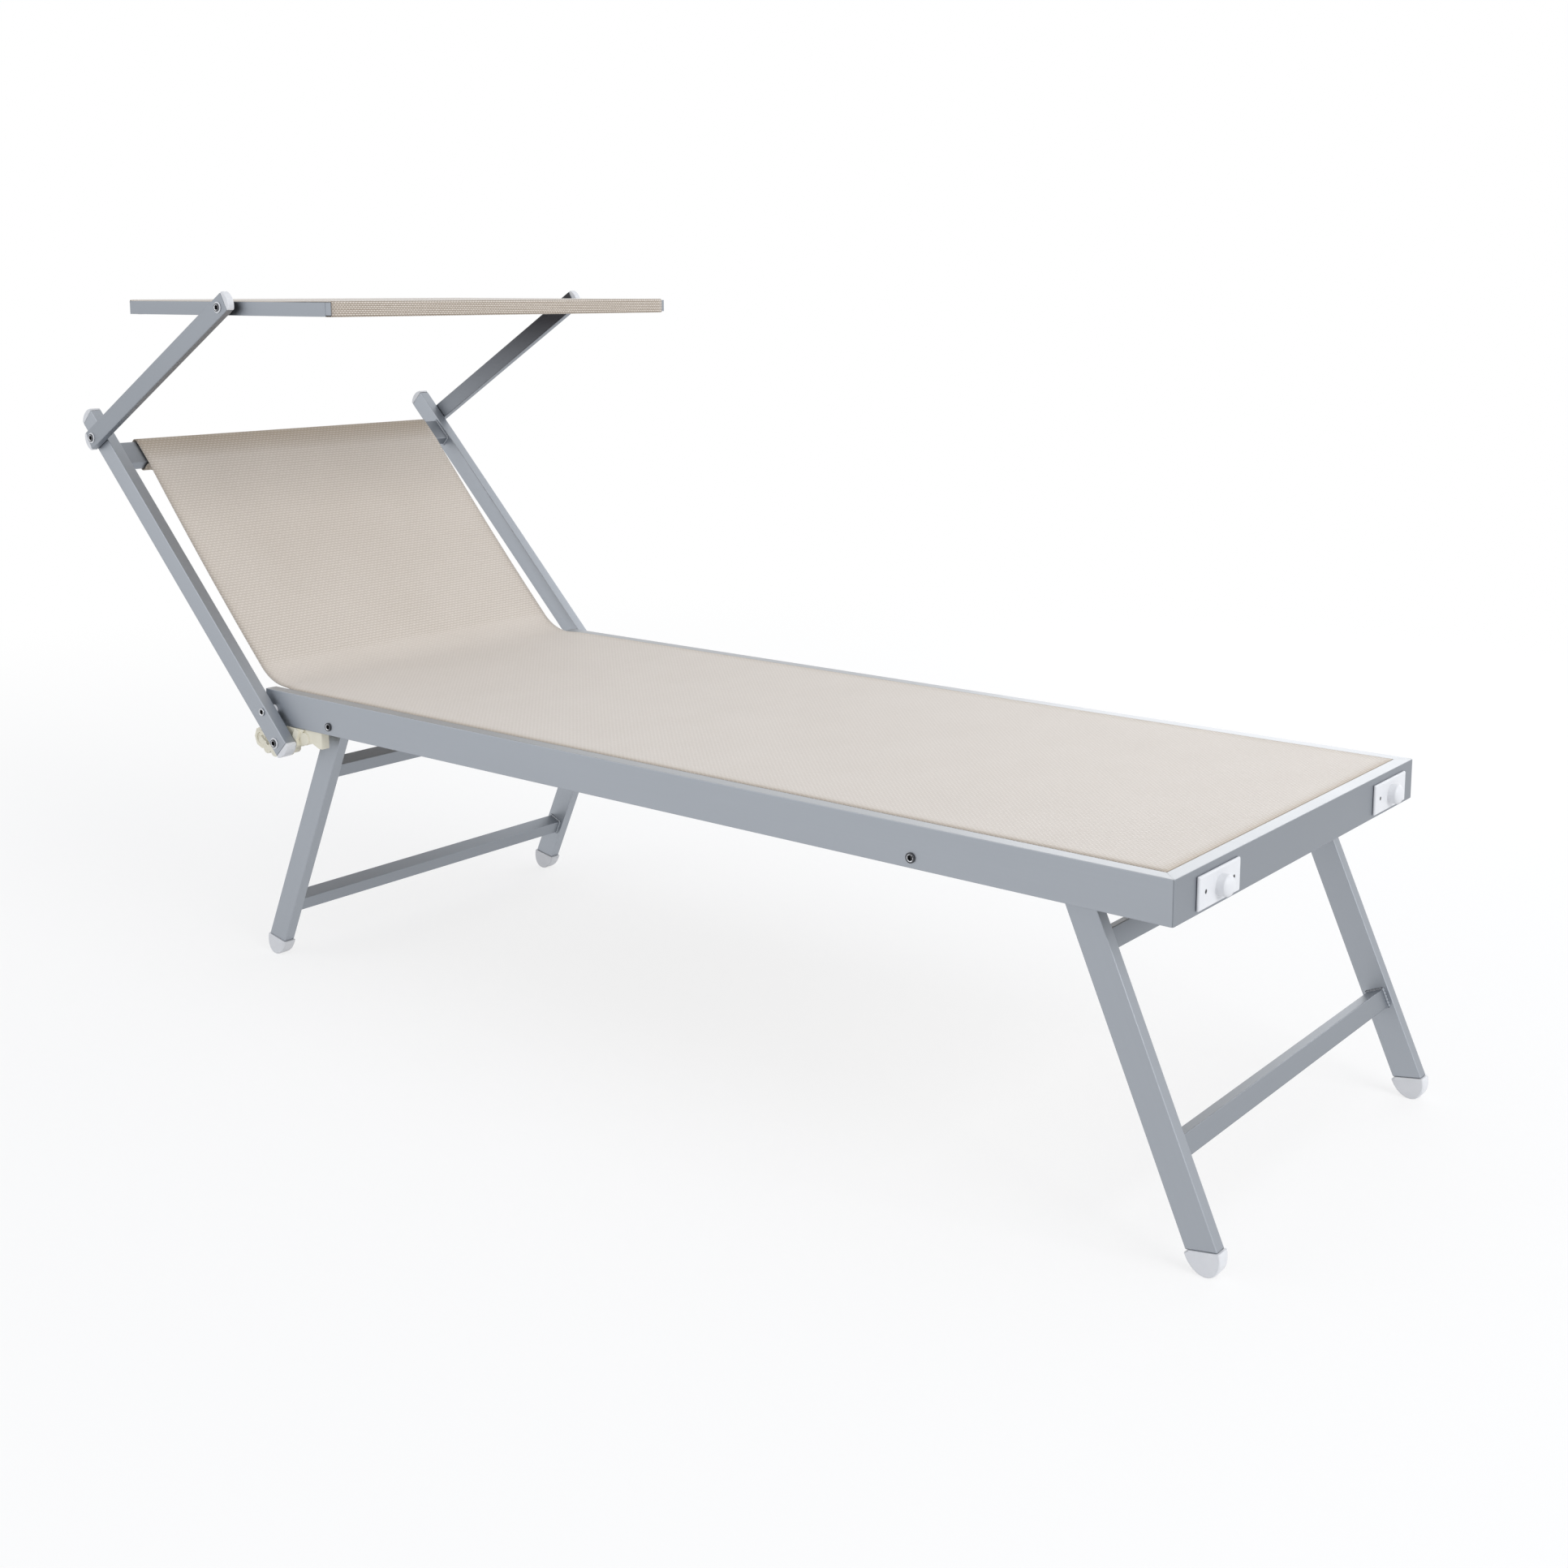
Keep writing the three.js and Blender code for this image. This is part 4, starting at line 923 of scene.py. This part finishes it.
for side in ("right", "left"):
    for node in (f"bracket_screw_{side}", f"leg_guide_stud_{side}"):
        socket_bolt(node, rail_screw_head, rail_screw_rise, rail_screw_shank, dark_steel)
    centre, sign, tip, _ = bolt_place(f"leg_guide_stud_{side}")
    start = tip + disc_from_tip
    end = start + disc_thickness
    rings = [
        (rail_screw_shank, start, 0), (disc_radius - disc_chamfer, start, 0),
        (disc_radius, start + disc_chamfer, 0), (disc_radius, end - disc_chamfer, 0),
        (disc_radius - disc_chamfer, end, 0), (rail_screw_shank, end, 0),
    ]
    turned(f"leg_guide_disc_{side}", rings, centre, sign, cream_nylon, "bed_frame")


# Foot bumpers
# A light grey moulded plate with a blunt knob on the foot rail at each corner, held by two small
# countersunk screws. It keeps the rail off the ground when the folded lounger stands on end.

bumper_edge = 0.0005
white_tone = srgb(222, 223, 225)
white_shade = srgb(212, 213, 216)
white_roughness = 0.38
plate_thickness = 0.0026
plate_screw_radius = 0.0023
plate_screw_spacing = 0.0578
plate_screw_sides = 24
plate_screw_depth = 0.0012
rim_depth = 0.0003
rim_share = 0.9
recess_mouth = 0.42
recess_foot = 0.3
recess_wall_depth = 0.0009
recess_depth = 0.0010
slot_reach = 0.9
slot_sharpness = 6
white_plastic = plastic("white_plastic", white_tone, white_shade, white_roughness)


def plate_screw(name, centre, face):
    """A countersunk screw along +X in the plate, with a cross recess cut as two crossing slots: its rings
    are (share of the radius, depth), and those of the recess reach out along the slots."""
    rings = [(1, plate_screw_depth), (1, rim_depth), (rim_share, 0), (recess_mouth, 0),
             (recess_foot, recess_wall_depth), (0, recess_depth)]
    share, depth = (np.array(column, float)[:, None] for column in zip(*rings))
    angle = full_turn(plate_screw_sides)
    slots = slot_reach * (np.abs(np.cos(2 * angle)) ** slot_sharpness)[None, :]
    radius = plate_screw_radius * share * (1 + slots * (share <= recess_mouth))
    points = joined(face - depth, centre[0] + radius * np.cos(angle), centre[1] + radius * np.sin(angle))
    # The whole screw is painted near-black, as painted shade in and round its recess.
    dressed(surface(name, points, closed_columns=True), painted_socket_shade, "bed_frame")


for side in ("right", "left"):
    node = f"foot_bumper_{side}"
    finished(node, bumper_edge, white_plastic)
    low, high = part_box(node)
    middle_y, middle_z = (low.y + high.y) / 2, (low.z + high.z) / 2
    for place, offset in (("inner", 1), ("outer", -1)):
        screw_y = middle_y + offset * plate_screw_spacing / 2
        plate_screw(f"bumper_screw_{place}_{side}", (screw_y, middle_z), low.x + plate_thickness)


# Leg pivot bolts
# Shoulder bolts in the rails' inner walls, with a collar that keeps the leg off the rail.

leg_bolt_edge = 0.0003
for node in [f"{end}_leg_bolt_{side}" for end in ("rear", "front") for side in ("right", "left")]:
    finished(node, leg_bolt_edge, steel)


# Backrest frame
# Two flat tubes with white plugs in their ends and an oval-edged top bar between them, which is welded
# on with a rippled bead all round each end.

tube_edge = 0.0011
cap_edge = 0.0012
cap_steps = 3
bead_radius = 0.0020
bead_ripple = 0.0036
bead_swell = 1 / 11
bead_step = 0.0005
bead_sides = 10
end_tolerance = 0.0001
end_directions = 180


def end_outline(node, side):
    """The outer corners of a tube's end on one side (-1 right, 1 left), in order round it: the end's
    points that lie furthest out in each of many directions. Also how far out in Y the end is."""
    points = triples(frame["nodes"][node].data.vertices, "co")
    end_y = (side * points[:, 1]).max()
    end = points[side * points[:, 1] > end_y - end_tolerance][:, [0, 2]]
    angle = full_turn(end_directions)
    furthest = (end @ np.stack([np.cos(angle), np.sin(angle)])).argmax(axis=0)
    return end[furthest[np.append(True, np.diff(furthest) != 0)]], side * end_y


def weld_bead(node, side):
    """A bead of weld round a tube's end: a ring whose radius swells a little once every ripple."""
    corners, end_y = end_outline(node, side)
    corners = np.concatenate([corners, corners[:1]])
    run = path_length(corners)
    ripples = round(run[-1] / bead_ripple)
    along = np.linspace(0, run[-1], round(run[-1] / bead_step) + 1)
    path = joined(np.interp(along, run, corners[:, 0]), np.interp(along, run, corners[:, 1]))
    heading = np.gradient(path, axis=0)
    heading /= np.linalg.norm(heading, axis=1)[:, None]
    outward = joined(heading[:, 1], -heading[:, 0])
    radius = bead_radius * (1 + bead_swell * np.cos(2 * math.pi * ripples * along / run[-1]))
    turn = full_turn(bead_sides)
    reach = radius[:, None] * np.cos(turn)
    points = joined(
        path[:, :1] + reach * outward[:, :1],
        end_y + radius[:, None] * np.sin(turn),
        path[:, 1:] + reach * outward[:, 1:],
    )
    points[-1] = points[0]
    piece = surface(f"{node}_weld_{'right' if side < 0 else 'left'}", points, closed_columns=True)
    close_seams(piece)
    dressed(piece, along_y, frame["nodes"][node]["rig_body"])


def crossbar(node):
    """A bar across the bed with a weld bead round each end."""
    finished(node, tube_edge, along_y)
    weld_bead(node, -1)
    weld_bead(node, 1)


def white_plug(node):
    """A white plug in the end of a tube."""
    finished(node, cap_edge, white_plastic, cap_steps)


along_back = satin_aluminium("aluminium_along_backrest", (0, math.pi - recline, 0))
for side in ("right", "left"):
    finished(f"backrest_tube_{side}", tube_edge, along_back)
    white_plug(f"backrest_top_cap_{side}")
    white_plug(f"backrest_bottom_cap_{side}")
crossbar("backrest_top_bar")


# Hinge bolts and recline pins
# The hinge bolt has a plain bright socket head and a white spacer. The pin's dark head stands in a white
# washer, as those of the arms' bolts do.

spacer_edge = 0.0004
washer_radius = 0.0072
washer_rise = 0.0009
bolt_head = 0.0052
bolt_rise = 0.0014
bolt_shank = 0.0035
pin_shank = 0.003


def washer(name, node, body):
    """A white washer under a bolt's head, with a rounded rim."""
    centre, side, _, face = bolt_place(node)
    top = face - bolt_rise
    bottom = top - washer_rise
    rings = [(bolt_shank, bottom, 0), *rounded_disc(washer_radius, bottom, top), (bolt_shank, top, 0)]
    turned(name, rings, centre, side, white_plastic, body)


for side in ("right", "left"):
    socket_bolt(f"backrest_pivot_bolt_{side}", bolt_head, bolt_rise, bolt_shank, steel)
    finished(f"backrest_pivot_spacer_{side}", spacer_edge, white_plastic)
    socket_bolt(f"recline_pin_{side}", bolt_head, bolt_rise, pin_shank, dark_steel)
    washer(f"recline_pin_washer_{side}", f"recline_pin_{side}", "backrest")


# Canopy arms
# Two flat tubes that swing on the backrest's tubes, with white end plugs and socket bolts in white
# washers. Their inner faces darken towards the canopy, which keeps the light off them.

arm_shade_low = 0.68
arm_shade_high = 0.855
arm_shade_tone = srgb(66, 66, 70)
arm_tone = srgb(152, 157, 164)
arm_dark_tone = srgb(144, 149, 156)
arm_start = joint_place("arm_swing")
arm_end = joint_place("canopy_tilt")
arm_turn = math.atan2(arm_end[2] - arm_start[2], arm_end[0] - arm_start[0])


def shaded_above(material):
    """Darkens a material's colour from one height at rest to another."""
    tree = material.node_tree
    shader = next(node for node in tree.nodes if node.type == "BSDF_PRINCIPLED")
    colour = shader.inputs["Base Color"].links[0].from_socket
    parts = tree.nodes.new("ShaderNodeSeparateXYZ")
    tree.links.new(object_place(tree), parts.inputs[0])
    shade = map_range(tree, parts.outputs[2], (arm_shade_low, arm_shade_high), (0.0, 1.0), "LINEAR")
    tree.links.new(mix_colour(tree, shade, colour, arm_shade_tone), shader.inputs["Base Color"])
    return material


along_arm = satin_aluminium("aluminium_along_arm", (0, arm_turn, 0), arm_tone, arm_dark_tone)
inside_arm = shaded_above(satin_aluminium("aluminium_inside_arm", (0, arm_turn, 0), arm_tone, arm_dark_tone))
for side, sign in (("right", -1), ("left", 1)):
    arm = finished(f"canopy_arm_{side}", tube_edge, along_arm)
    arm.data.materials.append(inside_arm)
    choose_materials(arm, sign * triples(arm.data.polygons, "normal")[:, 1] < -0.5)
    white_plug(f"arm_lower_cap_{side}")
    white_plug(f"arm_upper_cap_{side}")
    for place in ("lower", "upper"):
        socket_bolt(f"arm_{place}_bolt_{side}", bolt_head, bolt_rise, bolt_shank, dark_steel)
        washer(f"arm_{place}_washer_{side}", f"arm_{place}_bolt_{side}", "canopy_arms")


# Canopy frame
# Two side rails between a rear bar and a front bar, and a black disc between each rail and its arm.

canopy_edge = 0.0004
black_tone = srgb(38, 38, 41)
black_shade = srgb(28, 28, 31)
black_roughness = 0.45
black_nylon = plastic("black_nylon", black_tone, black_shade, black_roughness)
along_canopy = satin_aluminium("aluminium_along_canopy", (0, 0, 0), arm_tone, arm_dark_tone)
for side in ("right", "left"):
    finished(f"canopy_rail_{side}", canopy_edge, along_canopy)
    finished(f"canopy_spacer_{side}", canopy_edge, black_nylon)
for end in ("front", "rear"):
    finished(f"canopy_{end}_bar", canopy_edge, along_y)


# Canopy sling
# A finer mesh of the same colour, stretched over both rails and folded down round the end bars. Its side
# edges tuck a little into the tops of the rails.

canopy_cloth = 0.0009
canopy_sag = 0.003
sag_from_ends = 0.12
sag_delay = 0.05
sag_side_share = 0.06
canopy_fold = 0.003
canopy_columns = 72
canopy_row = 0.006
fold_row = 0.002
top_round_row = 0.0006
bottom_round_row = 0.0005
canopy_hem = 0.0105
hem_overlap = 0.001
canopy_near_edge = -0.3008
canopy_far_edge = 0.2944
canopy_rear_half_width = 0.2907
tuck_start = 0.02
tuck_reach = 0.12
tuck_in = 0.0025
tuck_depth = 0.0018
cloth_gap = 0.0001
top_tolerance = 0.0002
canopy_weave_across = 0.00457
canopy_weave_along = 0.00236
canopy_relief = 0.00006
canopy_thread_tone = srgb(226, 218, 208)
canopy_gap_shade_tone = srgb(124, 109, 92)
canopy_edge_shade_share = 0.1
canopy_top_openness = 0.3
canopy_fold_openness = 0.85
front_low, front_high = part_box("canopy_front_bar")
front_x = front_high.x + canopy_cloth + cloth_gap
rear_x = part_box("canopy_rear_bar")[0].x - canopy_cloth - cloth_gap
top_z = front_high.z + canopy_cloth + cloth_gap
bottom_z = front_low.z - canopy_cloth - cloth_gap
half_fold = canopy_fold / 2
fold_top = top_z - canopy_fold
fold_bottom = bottom_z + half_fold
canopy_path = np.concatenate([
    line((front_x - canopy_hem - hem_overlap, bottom_z), (front_x - half_fold, bottom_z), fold_row),
    arc((front_x - half_fold, fold_bottom), half_fold, -math.pi / 2, 0, bottom_round_row),
    line((front_x, fold_bottom), (front_x, fold_top), fold_row),
    arc((front_x - canopy_fold, fold_top), canopy_fold, 0, math.pi / 2, top_round_row),
    line((front_x - canopy_fold, top_z), (rear_x + canopy_fold, top_z), canopy_row),
    arc((rear_x + canopy_fold, fold_top), canopy_fold, math.pi / 2, math.pi, top_round_row),
    line((rear_x, fold_top), (rear_x, fold_bottom), fold_row),
    arc((rear_x + half_fold, fold_bottom), half_fold, math.pi, 1.5 * math.pi, bottom_round_row),
    line((rear_x + half_fold, bottom_z), (rear_x + canopy_hem, bottom_z), fold_row),
])
canopy_run = path_length(canopy_path)
canopy_share = np.linspace(-1, 1, canopy_columns)
behind_front = front_x - canopy_path[:, 0]
ahead_of_rear = canopy_path[:, 0] - rear_x
on_top = np.clip((canopy_path[:, 1] - top_z + top_tolerance) / top_tolerance, 0, 1)
from_ends = np.clip(np.minimum(ahead_of_rear, behind_front) / sag_from_ends - sag_delay, 0, 1)
at_rear = (canopy_path[:, 0] < rear_x + canopy_hem + hem_overlap) & (canopy_path[:, 1] < fold_top)
tuck = on_top * np.clip((behind_front - tuck_start) / tuck_reach, 0, 1)
near_edge = np.where(at_rear, -canopy_rear_half_width, canopy_near_edge + tuck_in * tuck)
far_edge = np.where(at_rear, canopy_rear_half_width, canopy_far_edge)
canopy_across = (near_edge + far_edge)[:, None] / 2 + (far_edge - near_edge)[:, None] / 2 * canopy_share
dip = np.clip(1 + sag_side_share - canopy_share[None, :] ** 2, 0, 1) - sag_side_share
drop = canopy_sag * (on_top * np.sqrt(from_ends))[:, None] * np.clip(dip, 0, 1)
drop[:, [0, -1]] += tuck_depth * tuck[:, None]
# Its side edges get a faint painted shade.
edge_share = (far_edge - near_edge)[:, None] / 2 * (1 - np.abs(canopy_share)) / edge_shade_reach
# The gaps on its folds get more painted shade than those on its top.
canopy_sling = sheet(
    "canopy_sling",
    joined(canopy_path[:, :1], canopy_across, canopy_path[:, 1:] - drop),
    canopy_run,
    canopy_edge_shade_share * np.clip(1 - edge_share, 0, 1),
    canopy_fold_openness + (canopy_top_openness - canopy_fold_openness) * on_top,
    canopy_cloth,
    mesh_cloth("beige_canopy", canopy_weave_across, canopy_weave_along, canopy_thread_tone, canopy_gap_shade_tone,
               canopy_relief),
)
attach(canopy_sling, "canopy")
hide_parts("canopy_fabric")


# Legs
# Flat tubes braced in pairs by two welded square tubes, with white feet plugged into their slanting ends.

foot_edge = 0.0005
leg_splay = math.radians(24)
for end, lean in (("rear", -leg_splay), ("front", leg_splay)):
    along_legs = satin_aluminium(f"aluminium_along_{end}_legs", (0, math.pi / 2 + lean, 0))
    for side in ("right", "left"):
        finished(f"{end}_leg_{side}", tube_edge, along_legs)
        finished(f"{end}_foot_{side}", foot_edge, white_plastic)
    for brace in ("upper", "lower"):
        crossbar(f"{end}_leg_{brace}_brace")


scene.view_settings.view_transform = "Standard"
